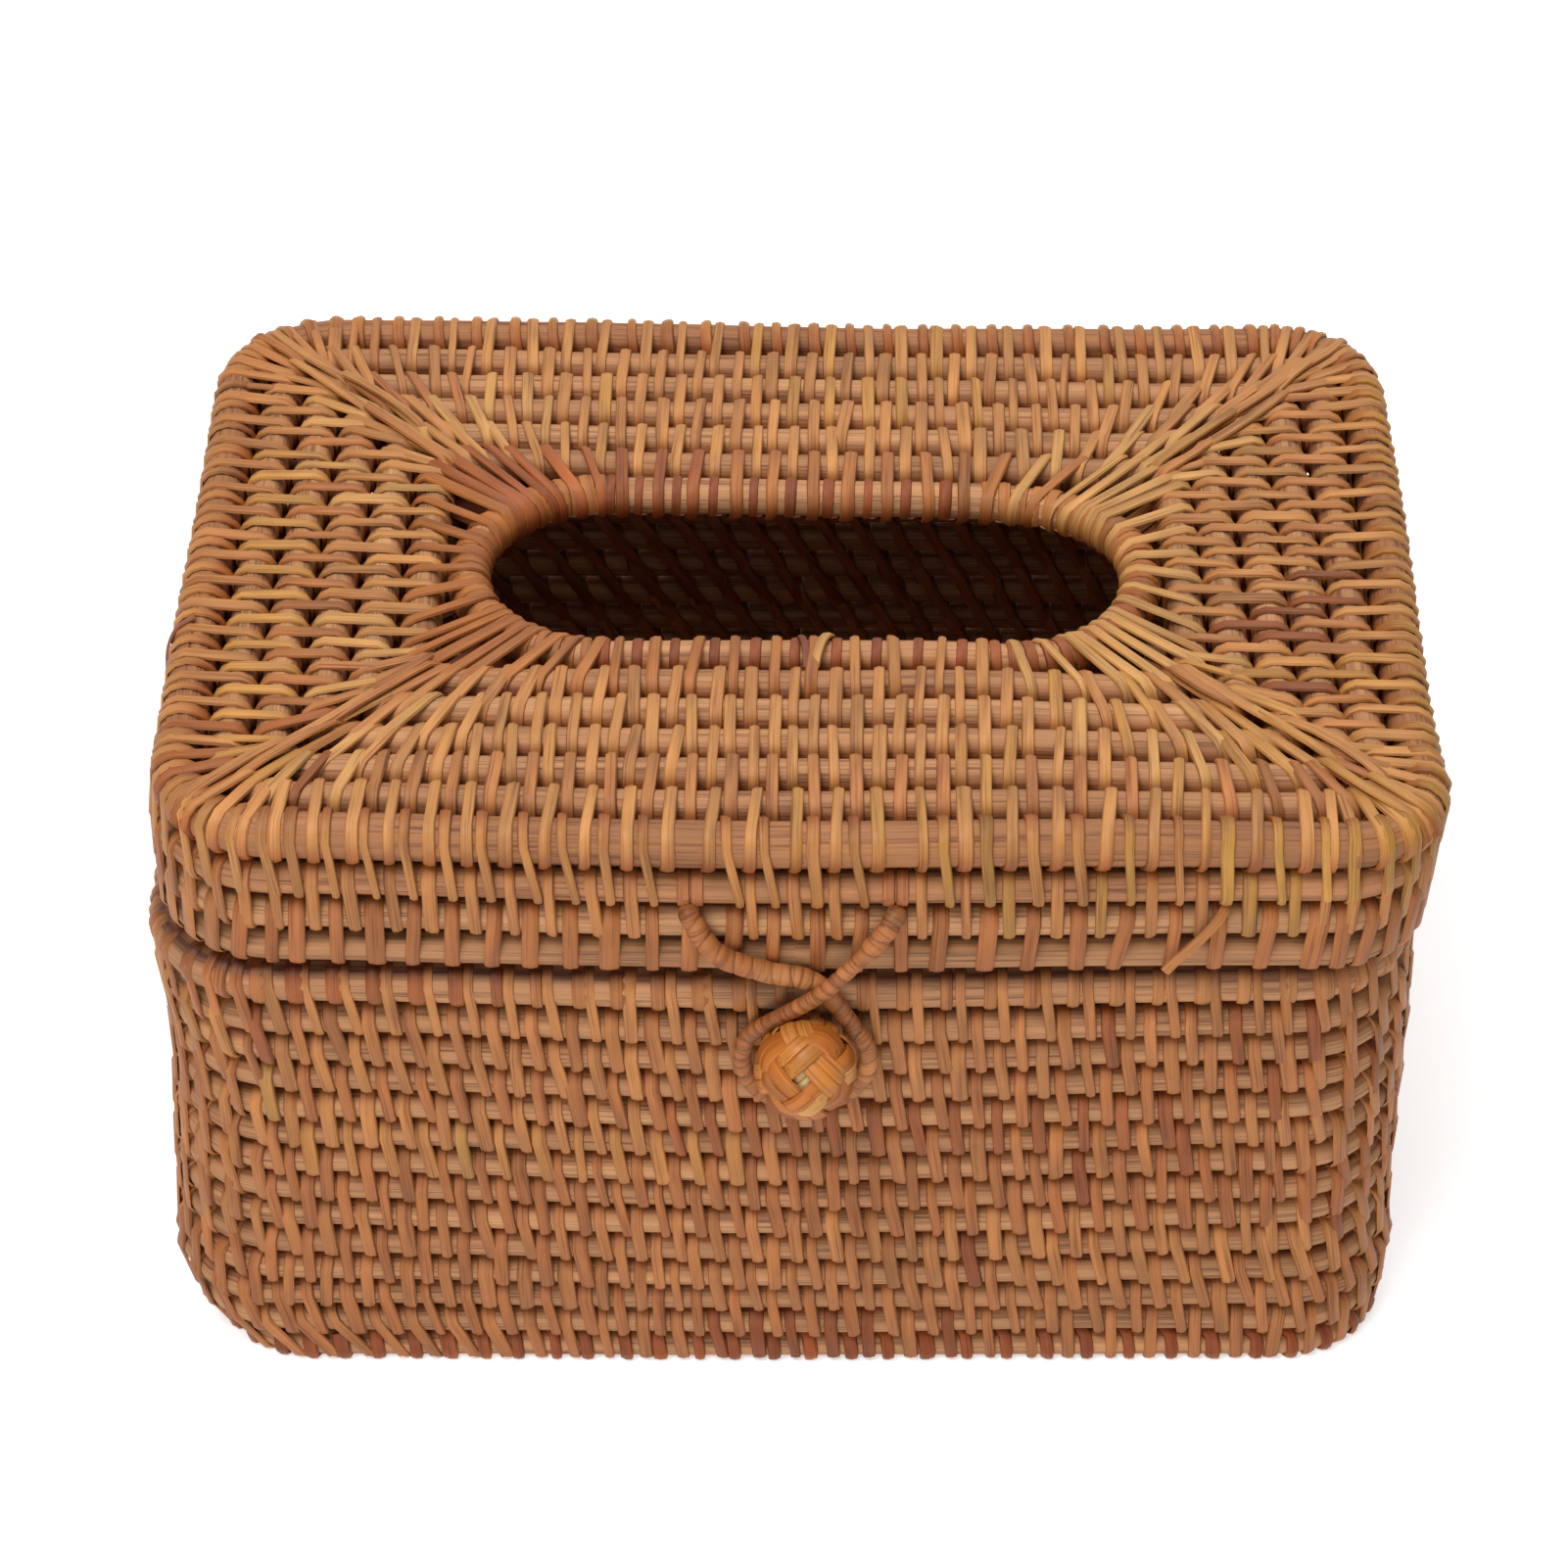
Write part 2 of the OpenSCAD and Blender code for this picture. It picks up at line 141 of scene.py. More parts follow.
def new_piece(
    name: str, points: Array, faces: Sequence[Array], uv: Array, tint: Array, material: bpy.types.Material,
    body: str, nodes: Sequence[str] = (), sharp: float = 50.0,
) -> bpy.types.Object:
    """Makes one mesh piece from whole arrays, dresses it and lets it ride on its body.

    Args:
        name: the piece's name.
        points: vertices in millimetres, one row each.
        faces: groups of faces, each an array with one row of vertex numbers per face.
        uv: one row per face corner, in the order of the faces.
        tint: one linear colour per vertex.
        material: the finish.
        body: the CAD body that it moves with.
        nodes: the CAD nodes that it stands for.
        sharp: edges that turn by more than this many degrees stay sharp.

    Returns:
        The new object.
    """
    mesh = bpy.data.meshes.new(name)
    corners = np.concatenate([f.ravel() for f in faces]).astype(np.int32)
    counts = np.concatenate([np.full(len(f), f.shape[1]) for f in faces]).astype(np.int32)
    mesh.vertices.add(len(points))
    mesh.vertices.foreach_set("co", (points * MM).astype(np.float32).ravel())
    mesh.loops.add(len(corners))
    mesh.loops.foreach_set("vertex_index", corners)
    mesh.polygons.add(len(counts))
    mesh.polygons.foreach_set("loop_start", np.concatenate([[0], np.cumsum(counts)[:-1]]).astype(np.int32))
    mesh.polygons.foreach_set("use_smooth", np.ones(len(counts), bool))
    mesh.update(calc_edges=True)
    mesh.uv_layers.new(name="UVMap").data.foreach_set("uv", (uv / UV_MM).astype(np.float32).ravel())
    colours = np.concatenate([tint, np.ones((len(tint), 1))], axis=1)
    mesh.color_attributes.new("tint", "FLOAT_COLOR", "POINT").data.foreach_set(
        "color", colours.astype(np.float32).ravel())
    mesh.set_sharp_from_angle(angle=math.radians(sharp))
    mesh.validate()
    mesh.materials.append(material)
    piece = bpy.data.objects.new(name, mesh)
    bpy.context.scene.collection.objects.link(piece)
    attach(piece, body)
    if nodes:
        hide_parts(*nodes)
    LOG.info("%s: %d faces on %s", name, len(counts), body)
    return piece


# Finishes

def add_node(
    tree: bpy.types.NodeTree, kind: str, settings: Optional[dict] = None, links: Optional[dict] = None
) -> bpy.types.Node:
    """Adds one node, with its settings, its socket values and its links.

    Args:
        tree: the material's node tree.
        kind: Blender's name of the node type.
        settings: node properties by name, and socket values by the name or number of the input.
        links: the output socket that feeds each input, by the name or number of the input.

    Returns:
        The new node.
    """
    node = tree.nodes.new(kind)
    for key, value in (settings or {}).items():
        if isinstance(key, int) or key in node.inputs:
            node.inputs[key].default_value = value
        else:
            setattr(node, key, value)
    for key, source in (links or {}).items():
        tree.links.new(source, node.inputs[key])
    return node


@dataclass(frozen=True)
class CaneFinish:
    """Natural cane, unpainted, under a thin wiped-on coat of clear lacquer.

    The fibres run along the cane. They show as long fine streaks, some pale and some dark, and as a
    faint ribbing that breaks up the satin shine. The cane's own colour comes from the piece's tint.
    """

    name: str
    fibre_mm: float
    streak_mm: float
    blotch_mm: float
    dark: str
    light: str
    roughness: float
    relief_mm: float
    specular: float = 0.3

    def material(self) -> bpy.types.Material:
        """Builds the node material."""
        made = bpy.data.materials.new(self.name)
        made.use_nodes = True
        tree = made.node_tree
        tree.nodes.clear()
        out = add_node(tree, "ShaderNodeOutputMaterial")
        shader = add_node(tree, "ShaderNodeBsdfPrincipled", {
            "Roughness": self.roughness, "IOR": 1.5, "Specular IOR Level": self.specular})
        uv = add_node(tree, "ShaderNodeUVMap", {"uv_map": "UVMap"}).outputs["UV"]
        tint = add_node(tree, "ShaderNodeAttribute", {"attribute_name": "tint"}).outputs["Color"]
        fine = self._streaks(tree, uv, self.streak_mm, self.fibre_mm, 4.0)
        broad = self._streaks(tree, uv, self.streak_mm * 1.7, self.fibre_mm * 4.5, 2.0)
        blotch = self._streaks(tree, uv, self.blotch_mm, self.blotch_mm * 0.4, 2.0)
        mixed = add_node(tree, "ShaderNodeMath", {"operation": "MULTIPLY_ADD", 1: 0.55}, {0: fine})
        tree.links.new(
            add_node(tree, "ShaderNodeMath", {"operation": "MULTIPLY", 1: 0.45}, {0: broad}).outputs[0],
            mixed.inputs[2])
        ramp = add_node(tree, "ShaderNodeValToRGB", {}, {"Fac": mixed.outputs[0]})
        ramp.color_ramp.elements[0].position = 0.33
        ramp.color_ramp.elements[0].color = (*linear(self.dark), 1)
        ramp.color_ramp.elements[1].position = 0.68
        ramp.color_ramp.elements[1].color = (*linear(self.light), 1)
        middle = ramp.color_ramp.elements.new(0.48)
        middle.color = (*linear("#E4E2E0"), 1)
        grain = add_node(
            tree, "ShaderNodeMix", {"data_type": "RGBA", "blend_type": "MULTIPLY", "Factor": 1.0},
            {6: tint, 7: ramp.outputs["Color"]})
        level = add_node(
            tree, "ShaderNodeMapRange", {"From Min": 0.3, "From Max": 0.7, "To Min": 1.0, "To Max": 1.25},
            {"Value": blotch})
        lit = add_node(
            tree, "ShaderNodeVectorMath", {"operation": "SCALE"},
            {0: grain.outputs[2], "Scale": level.outputs["Result"]})
        tree.links.new(lit.outputs["Vector"], shader.inputs["Base Color"])
        bump = add_node(
            tree, "ShaderNodeBump", {"Strength": 0.8, "Distance": self.relief_mm * MM},
            {"Height": mixed.outputs[0]})
        tree.links.new(bump.outputs["Normal"], shader.inputs["Normal"])
        tree.links.new(shader.outputs["BSDF"], out.inputs["Surface"])
        return made

    @staticmethod
    def _streaks(
        tree: bpy.types.NodeTree, uv: bpy.types.NodeSocket, along_mm: float, across_mm: float, detail: float
    ) -> bpy.types.NodeSocket:
        """Gives a noise that is drawn out along the cane.

        Args:
            tree: the material's node tree.
            uv: the piece's map, whose first value runs along the cane.
            along_mm: the real length of a streak.
            across_mm: the real width of a streak.
            detail: the finer octaves of the noise.

        Returns:
            The socket with the noise, from 0 to 1.
        """
        scale = (UV_MM / along_mm, UV_MM / across_mm, 1.0)
        stretched = add_node(tree, "ShaderNodeMapping", {"Scale": scale}, {"Vector": uv})
        noise = add_node(
            tree, "ShaderNodeTexNoise", {"noise_dimensions": "2D", "Scale": 1.0, "Detail": detail},
            {"Vector": stretched.outputs["Vector"]})
        return noise.outputs["Fac"]


# Peeled round core: open pores give pale and dark streaks. Real pores are 0.2 to 0.4 mm wide.
PEELED_ROD = CaneFinish("peeled_cane_rod", 0.42, 26.0, 34.0, "#A08C80", "#FFFAF0", 0.62, 0.16)
# Strip split from the core and smoothed by pulling it through a gauge: finer fibres, more shine.
SPLIT_STRIP = CaneFinish("split_cane_strip", 0.30, 15.0, 9.0, "#B4A396", "#F6F2EC", 0.5, 0.07)
# Strip wound tightly over the loop's core.
WHIPPING = CaneFinish("whipped_cane_strand", 0.28, 9.0, 6.0, "#A99686", "#F6F2EC", 0.48, 0.06)
# Strip of the ball knot, darkened and polished by handling.
KNOT_STRIP = CaneFinish("knotted_cane_strip", 0.30, 12.0, 7.0, "#B59F8E", "#FAF4EA", 0.4, 0.06)

ROD_TINTS = ("#BC8A60", "#B7855C", "#C08F64", "#B18058")


@dataclass(frozen=True)
class Shades:
    """The colours that a basket maker's bundle of strips has, and how often each is picked."""

    colours: tuple[str, ...]
    shares: tuple[float, ...]

    def pick(self, rng: np.random.Generator, count: int, least: int, most: int) -> Array:
        """Gives the colour of each stitch, in stretches that come from one strip.

        Args:
            rng: the seeded source of chance.
            count: how many stitches there are.
            least: the fewest stitches from one strip.
            most: the most stitches from one strip.

        Returns:
            One linear colour per stitch, with a small change of level from stitch to stitch.
        """
        lengths = rng.integers(least, most + 1, size=count // least + 2)
        which = np.repeat(rng.choice(len(self.colours), size=len(lengths), p=self.shares), lengths)[:count]
        table = np.array([linear(c) for c in self.colours])
        return table[which] * rng.normal(1.0, 0.09, size=(count, 1))


@dataclass(frozen=True)
class Accent:
    """A patch of the box in which some of the stitches come from an odd strip."""

    x: tuple[float, float]
    y: tuple[float, float]
    z: tuple[float, float]
    colour: str
    share: float

    def paint(self, point: Array, tint: Array, rng: np.random.Generator) -> Array:
        """Recolours the stitches in the patch.

        Args:
            point: each stitch's middle.
            tint: each stitch's linear colour.
            rng: the seeded source of chance.

        Returns:
            The new colours.
        """
        inside = rng.uniform(size=len(point)) < self.share
        for axis, (low, high) in enumerate((self.x, self.y, self.z)):
            inside &= (point[:, axis] > low) & (point[:, axis] < high)
        odd = np.array(linear(self.colour)) * rng.normal(1, 0.07, size=(len(point), 1))
        return np.where(inside[:, None], odd, tint)


WALL_SHADES = Shades(
    ("#B0713E", "#B67943", "#AA6938", "#B97D41", "#A46232", "#9A572C"),
    (0.34, 0.29, 0.21, 0.06, 0.07, 0.03))
TOP_SHADES = Shades(
    ("#BC8049", "#C1874D", "#B67844", "#C28B49", "#AE6F3E"), (0.37, 0.29, 0.22, 0.06, 0.06))
SLOT_SHADES = Shades(("#A8652F", "#AE6D38", "#9C562A", "#B67642"), (0.38, 0.3, 0.2, 0.12))
EDGE_SHADES = Shades(("#BB8248", "#C08A4E", "#B27840", "#B9873F"), (0.35, 0.25, 0.3, 0.1))
TURN_SHADES = Shades(("#8E4820", "#9A5428", "#82401A"), (0.4, 0.35, 0.25))
KNOT_SHADES = Shades(("#BE7029", "#C67F38", "#CE9450", "#B66726"), (0.3, 0.3, 0.2, 0.2))
ACCENTS = (
    Accent((15, 100), (-72, -60), (98, 116), "#B07D3C", 0.25),
    Accent((0, 90), (-70, -22), (112, 120), "#BE8746", 0.2),
    Accent((-60, 60), (40, 62), (112, 120), "#BF8846", 0.12),
    Accent((66, 84), (-32, 0), (112, 120), "#8E5029", 0.3),
    Accent((-96, -70), (-62, -30), (112, 120), "#9A592C", 0.3),
    Accent((-76, -40), (-50, 50), (112, 120), "#C79356", 0.22),
    Accent((44, 70), (-45, 45), (112, 120), "#C89557", 0.28),
    Accent((40, 98), (-72, -60), (10, 70), "#8F4E25", 0.12),
    Accent((-20, 40), (-72, -60), (0, 22), "#8C4A22", 0.2),
    Accent((-98, -30), (-72, -60), (20, 60), "#B07F42", 0.06),
)
# Painted shade in the grooves between rods and on the sides inside the box: what it leaves of the cane's
# red, green and blue
GROOVE_SHADE = np.array([0.66, 0.42, 0.27])
# The painted shadow of the gap under the lid is darkest on the rim at this angle from outward to up, and
# less so to both sides of it
GAP_AT = 66.0
GAP_WIDTH = 21.0
GAP_DEPTH = np.array([0.86, 0.94, 0.97])  # what its red, green and blue lose at most


def painted_gap_shadow(degrees: Array) -> Array:
    """Gives what the painted shadow of the gap under the lid leaves of the rim's colour.

    Args:
        degrees: directions seen from the rim's middle line, from outward to up.

    Returns:
        Three factors for each direction, lowest for the side that faces the gap.
    """
    return 1 - GAP_DEPTH * np.exp(-(((np.mod(degrees, 360) - GAP_AT) / GAP_WIDTH) ** 2))[:, None]


# Hoops of round cane

ANY_DEPTH = -1e9  # a lowest height that holds nothing back
STRETCH = 4.0
STRETCH_RUN = 160.0
FAN = 17.0  # the length of the fan at each end of the front and back, in the top
BACK_DIP = 1.5  # as a share of the sag
BACK_DIP_X = 25.0  # where the back sinks most
BACK_DIP_WIDTH = 60.0
# A bulge starts at the first share of half the hoop, and is whole the second share further on
EASE_FROM, EASE_OVER = 0.3, 0.55
BOW_REACH = 85.0  # from here to the corner, the front is drawn back by the whole of its bow
# How the lid's right side is skewed, as share of the way from front (-1) to back (1), and millimetres
SKEW = ((-1.0, -0.86, -0.72, -0.5, -0.2, 0.4, 0.8, 1.0), (2.4, 0.5, -0.8, -0.9, -0.4, 0.4, 0.9, 2.4))


@dataclass(frozen=True)
class Hoop:
    """One closed rod: a rounded rectangle seen from above, whose middle line wanders a little.

    A place on it is the distance from the middle of the front, travelling to the right.
    """

    half_x: float
    half_y: float
    corner: float
    height: float
    rod: float
    wander: float
    seed: int
    left: float = 0.0
    right: float = 0.0
    sag: float = 0.0
    skew: float = 0.0
    tuck: float = 0.0
    lift: float = 0.0
    bow: tuple[float, float] = (0.0, 0.0)

    @property
    def run_x(self) -> float:
        """Half the length of the straight run at the front."""
        return self.half_x - self.corner

    @property
    def run_y(self) -> float:
        """Half the length of the straight run at the side."""
        return self.half_y - self.corner

    @property
    def bend(self) -> float:
        """Length of one corner."""
        return self.corner * math.pi / 2

    @property
    def stretches(self) -> Array:
        """Lengths of the nine stretches, from the front's middle and back to it."""
        a, b, c = self.run_x, 2 * self.run_y, self.bend
        return np.array([a, c, b, c, 2 * a, c, b, c, a])

    @property
    def length(self) -> float:
        """Length all round."""
        return float(self.stretches.sum())

    @property
    def side_middles(self) -> tuple[float, float, float, float]:
        """Places of the middles of the front, right, back and left side."""
        side = self.run_x + self.bend + self.run_y
        return 0.0, side, self.length / 2, self.length - side

    def at(self, place: Array) -> tuple[Array, Array, Array]:
        """Works out points of the rod's middle line.

        On a straight run the point moves along the heading. On a corner the heading turns evenly, by
        the distance over the corner's radius. Slow sine waves move the line out and up by the wander.
        The left and right thirds are pushed sideways, and the right one sinks, by the hoop's own
        amounts, which a smooth step from a third of the way to the side brings in. The back sinks too,
        most at BACK_DIP_X. The front is drawn in by the tuck, and raised by the lift. It bows forward too:
        half a cosine wave draws its left and right ends back by the bow.

        Args:
            place: distances from the front's middle, in any shape.

        Returns:
            The points, the headings and the outward directions, each with a last axis of three.
        """
        a, b = self.run_x, self.run_y
        starts = np.concatenate([[0], np.cumsum(self.stretches)])
        begin = np.array([
            [0, -self.half_y], [a, -self.half_y], [self.half_x, -b], [self.half_x, b], [a, self.half_y],
            [-a, self.half_y], [-self.half_x, b], [-self.half_x, -b], [-a, -self.half_y]])
        turned = np.radians([0, 0, 90, 90, 180, 180, 270, 270, 360])
        curved = np.array([0, 1, 0, 1, 0, 1, 0, 1, 0]) / self.corner
        s = np.mod(place, self.length)
        k = np.clip(np.searchsorted(starts, s, side="right") - 1, 0, 8)
        ds = s - starts[k]
        first = turned[k]
        now = first + curved[k] * ds
        straight = curved[k] == 0
        x = begin[k, 0] + np.where(
            straight, ds * np.cos(first), self.corner * (np.sin(now) - np.sin(first)))
        y = begin[k, 1] + np.where(
            straight, ds * np.sin(first), self.corner * (np.cos(first) - np.cos(now)))
        phases = np.random.default_rng(self.seed).uniform(0, 2 * math.pi, 5)
        around = 2 * math.pi * s / self.length
        out = 0.6 * np.sin(3 * around + phases[0]) + 0.4 * np.sin(8 * around + phases[1])
        up = 0.5 * np.sin(4 * around + phases[2]) + 0.3 * np.sin(9 * around + phases[3])
        heading = np.stack([np.cos(now), np.sin(now), np.zeros_like(now)], axis=-1)
        outward = np.stack([np.sin(now), -np.cos(now), np.zeros_like(now)], axis=-1)
        point = np.stack([x, y, np.full_like(x, self.height)], axis=-1)
        point = point + outward * (self.wander * out)[..., None]
        side = smooth_step((np.abs(x) / self.half_x - EASE_FROM) / EASE_OVER)
        front = smooth_step((-y / self.half_y - EASE_FROM) / EASE_OVER)
        back_by = np.where(x > 0, self.bow[1], self.bow[0]) / 2 * (
            1 - np.cos(math.pi * np.minimum(np.abs(x) / BOW_REACH, 1)))
        right = self.right + self.skew * np.interp(y / self.half_y, *SKEW)
        point[..., 0] += side * np.where(x > 0, right, self.left)
        point[..., 1] += front * (self.tuck + back_by)
        back = BACK_DIP * np.clip(y / self.half_y, 0, 1) ** 2
        back = back * np.exp(-(((x - BACK_DIP_X) / BACK_DIP_WIDTH) ** 2))
        point[..., 2] += (
            0.6 * self.wander * up + self.lift * front - self.sag * (np.where(x > 0, side, 0.0) + back))
        return point, heading, outward

    def places(self, pitch: float, phase: float, corner_pitch: float) -> Array:
        """Gives the stitches' places: steps from each side's middle, shared out evenly over the corners.

        On the front and back the steps widen along the way, by up to a twelfth: the place u from the
        middle moves on by STRETCH * (1 - cos(pi * u / STRETCH_RUN)).

        Args:
            pitch: the distance between stitches.
            phase: the first stitch's distance from the middle, as a share of the pitch.
            corner_pitch: the distance between stitches on the corners.

        Returns:
            The places in rising order.
        """
        sides = []
        for k, (middle, half) in enumerate(zip(self.side_middles, (self.run_x, self.run_y) * 2)):
            reach = max(half, 0.6 * pitch)
            steps = math.ceil(reach / pitch) + 2
            u = (np.arange(-steps, steps + 1) + phase) * pitch
            if k % 2 == 0:
                u = u + STRETCH * (1 - np.cos(math.pi * u / STRETCH_RUN))
            sides.append(middle + u[np.abs(u) <= reach])
        rows = []
        for k, row in enumerate(sides):
            after = sides[(k + 1) % 4][0] + (self.length if k == 3 else 0)
            steps = max(1, round((after - row[-1]) / corner_pitch))
            rows.append(np.concatenate([row, row[-1] + (after - row[-1]) * np.arange(1, steps) / steps]))
        return np.concatenate(rows)


def facing(a: Hoop, b: Hoop, place: Array) -> Array:
    """Gives the places on hoop b that face places on hoop a.

    A strip runs straight across, up to the bend of the shorter hoop. On the front and back, places near
    the bend crowd together on the shorter hoop, so that the strips fan out to the corner's diagonal.

    Args:
        a: the hoop whose places are known.
        b: the neighbouring hoop.
        place: places on hoop a.

    Returns:
        The matching places on hoop b.
    """
    known, matched = [], []
    for k, (mid_a, mid_b) in enumerate(zip(a.side_middles, b.side_middles)):
        run_a, run_b = (a.run_x, b.run_x) if k % 2 == 0 else (a.run_y, b.run_y)
        if run_a - run_b < 1:
            knots = [(run_a, run_b)]
        elif b.run_y < 1:
            knots = [(run_b - 4, run_b - 4)] if run_b > 4 else []
        elif k % 2 == 0:
            knots = [(run_b - FAN, run_b - FAN), (run_a, run_b)]
        else:
            knots = [(run_b, run_b), (run_a, run_b + 0.3 * b.bend)]
        for from_a, from_b in [(-p, -q) for p, q in knots[::-1]] + [(0.0, 0.0)] + knots:
            known.append(mid_a + from_a)
            matched.append(mid_b + from_b)
    order = np.argsort(known, kind="stable")
    known, matched = np.array(known)[order], np.array(matched)[order]
    known = np.concatenate([known - a.length, known, known + a.length])
    matched = np.concatenate([matched - b.length, matched, matched + b.length])
    return np.interp(place, known, matched)


@dataclass(frozen=True)
class RodWork:
    """Makes the visible rod of a hoop: a tube whose thickness changes a little along its length."""

    sides: int = 14
    step: float = 3.2
    uneven: float = 0.018

    def build(
        self, node: str, hoop: Hoop, body: str, material: bpy.types.Material,
        shaded_sides: tuple[float, ...] = (90, -90, 180), lowest: float = ANY_DEPTH,
        gap: bool = False, shade: Optional[str] = None,
    ) -> None:
        """Makes the tube that stands for a CAD hoop.

        Each ring of points lies at the rod's radius round the middle line, square to its heading.

        Args:
            node: the CAD node's name.
            hoop: its middle line and thickness.
            body: the body it rides on.
            material: the finish.
            shaded_sides: the sides that get painted shade, where they lie in a groove or inside the box, in
                degrees from outward to up.
            lowest: a height that no point goes below, for the rod that the box stands on.
            gap: whether the rod faces the gap under the lid, and so gets its painted shadow.
            shade: its colour, or None for one of the usual ones.
        """
        count = int(hoop.length / self.step)
        place = np.arange(count) * hoop.length / count
        point, _, outward = hoop.at(place)
        rng = np.random.default_rng(hoop.seed + 500)
        around = 2 * math.pi * place / hoop.length
        swell = 1 + self.uneven * (
            np.sin(11 * around + rng.uniform(0, 6)) + np.sin(29 * around + rng.uniform(0, 6))) / 2
        angle = circle(self.sides)
        spoke = spokes(angle, outward[:, None], UPWARD)
        points = point[:, None] + spoke * (hoop.rod / 2 * swell)[:, None, None]
        points[..., 2] = np.maximum(points[..., 2], lowest)
        faces = tube_faces(count, self.sides, closed=True)[..., [0, 3, 2, 1]]
        i, k = np.meshgrid(np.arange(count), np.arange(self.sides), indexing="ij")
        girth = math.pi * hoop.rod / self.sides
        step = hoop.length / count
        shift = 37.0 * hoop.seed
        uv = np.stack([
            np.stack([i, i + 1, i + 1, i], axis=-1) * step + shift,
            np.stack([k, k, k + 1, k + 1], axis=-1) * girth + shift], axis=-1)
        shade = np.array(linear(shade or ROD_TINTS[hoop.seed % len(ROD_TINTS)])) * rng.normal(1, 0.03)
        level = 1 + 0.05 * np.sin(5 * around + rng.uniform(0, 6))
        level = level + 0.04 * np.sin(13 * around + rng.uniform(0, 6))
        # Painted shade: the sides in grooves and inside the box are darkened
        off = np.degrees(angle)[:, None] - np.array(shaded_sides)
        deep = np.exp(-((np.mod(off + 180, 360) - 180) / 40) ** 2).max(axis=1)
        painted_shade = 1 - (1 - GROOVE_SHADE) * deep[:, None]
        # Painted shadow of the gap under the lid, on the rim's upper outside
        if gap:
            painted_shade = painted_shade * painted_gap_shadow(np.degrees(angle))
        tint = (shade * level[:, None, None] * painted_shade).reshape(-1, 3)
        new_piece(
            f"{node}_cane", points.reshape(-1, 3), [faces.reshape(-1, 4)], uv.reshape(-1, 2), tint,
            material, body, [node])


# Strip work

@dataclass
class StripWork:
    """Collects stretches of strip and makes one mesh of them.

    The strip's section is a low crown: flat underneath, with rounded shoulders. Each section is given
    as shares of the width across and of the thickness outwards.
    """

    section: tuple = ((-0.5, 0.0), (-0.42, 0.68), (0.0, 1.0), (0.42, 0.68), (0.5, 0.0))
    lowest: Optional[float] = None
    _points: list = field(default_factory=list)
    _quads: list = field(default_factory=list)
    _caps: list = field(default_factory=list)
    _uv: list = field(default_factory=list)
    _tint: list = field(default_factory=list)
    _count: int = 0

    def add(
        self, path: Array, normal: Array, width: Array, thick: float, tint: Array, closed: bool = False
    ) -> None:
        """Adds stretches that all have the same number of sections.

        Across is square to the path and to the strip's outward direction. A point of the section lies
        at path + across * width * x + outward * thickness * y.

        Args:
            path: points under the strip's middle, as stretch, section, three.
            normal: the strip's outward directions, in the same shape.
            width: the strip's width at each section, or one for all.
            thick: the strip's thickness.
            tint: the linear colour at each section.
            closed: whether each stretch ends where it starts.
        """
        n, rings = path.shape[:2]
        if closed:
            along = np.roll(path, -1, axis=1) - np.roll(path, 1, axis=1)
        else:
            along = np.gradient(path, axis=1)
        across = unit(np.cross(along, normal))
        profile = np.array(self.section)
        p = len(profile)
        width = np.broadcast_to(width, (n, rings))
        points = (
            path[:, :, None]
            + across[:, :, None] * (width[..., None] * profile[:, 0])[..., None]
            + normal[:, :, None] * (thick * profile[:, 1])[:, None])
        if self.lowest is not None:
            floor = self.lowest + 0.3 * (1 - profile[:, 1])
            points[..., 2] = np.maximum(points[..., 2], floor)
        steps = np.linalg.norm(np.diff(path, axis=1), axis=-1)
        length = np.concatenate([np.zeros((n, 1)), np.cumsum(steps, axis=1)], axis=1)
        length = length + 53.0 * (np.arange(n)[:, None] + self._count)
        uv = np.stack([
            np.broadcast_to(length[..., None], (n, rings, p)), width[..., None] * profile[:, 0]], axis=-1)
        base = self._count + np.arange(n)[:, None, None] * rings * p
        self._quads.append((base[..., None] + tube_faces(rings, p, closed)[None]).reshape(-1, 4))
        if not closed:
            ends = np.concatenate([np.arange(p)[::-1][None], (rings - 1) * p + np.arange(p)[None]])
            self._caps.append((base + ends[None]).reshape(-1, p))
        self._points.append(points.reshape(-1, 3))
        self._uv.append(uv.reshape(-1, 2))
        self._tint.append(np.repeat(np.broadcast_to(tint, (n, rings, 3)).reshape(-1, 3), p, axis=0))
        self._count += n * rings * p

    def build(
        self, name: str, material: bpy.types.Material, body: str, slot: str, nodes: Sequence[str] = ()
    ) -> bpy.types.Object:
        """Makes the piece from all stretches."""
        faces = [np.concatenate(self._quads)]
        if self._caps:
            faces.append(np.concatenate(self._caps))
        uv = np.concatenate(self._uv)
        corners = np.concatenate([f.ravel() for f in faces])
        return new_piece(
            name, np.concatenate(self._points), faces, uv[corners], np.concatenate(self._tint), material,
            body, nodes)

    def stand_for(
        self, node: str, material: bpy.types.Material, body: str, slot: str = "cane_strip"
    ) -> None:
        """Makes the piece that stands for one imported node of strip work."""
        self.build(f"{node}_strips", material, body, slot, [node])


class Outside(Enum):
    """The side of a seam on which its straight stitches lie."""

    OUT = 1.0  # away from the box, or under its floor
    UP = -1.0  # on top of the lid


Skip = Callable[[Array], Array]


def row_fit(row: int) -> float:
    """Gives a seam's room over its rods, by turns, so that the strips of two seams on a rod lie apart."""
    return 0.05 + 0.15 * (row % 2)


def keep_all(point: Array) -> Array:
    """Skips no stitch."""
    return np.zeros(point.shape[:-1], bool)


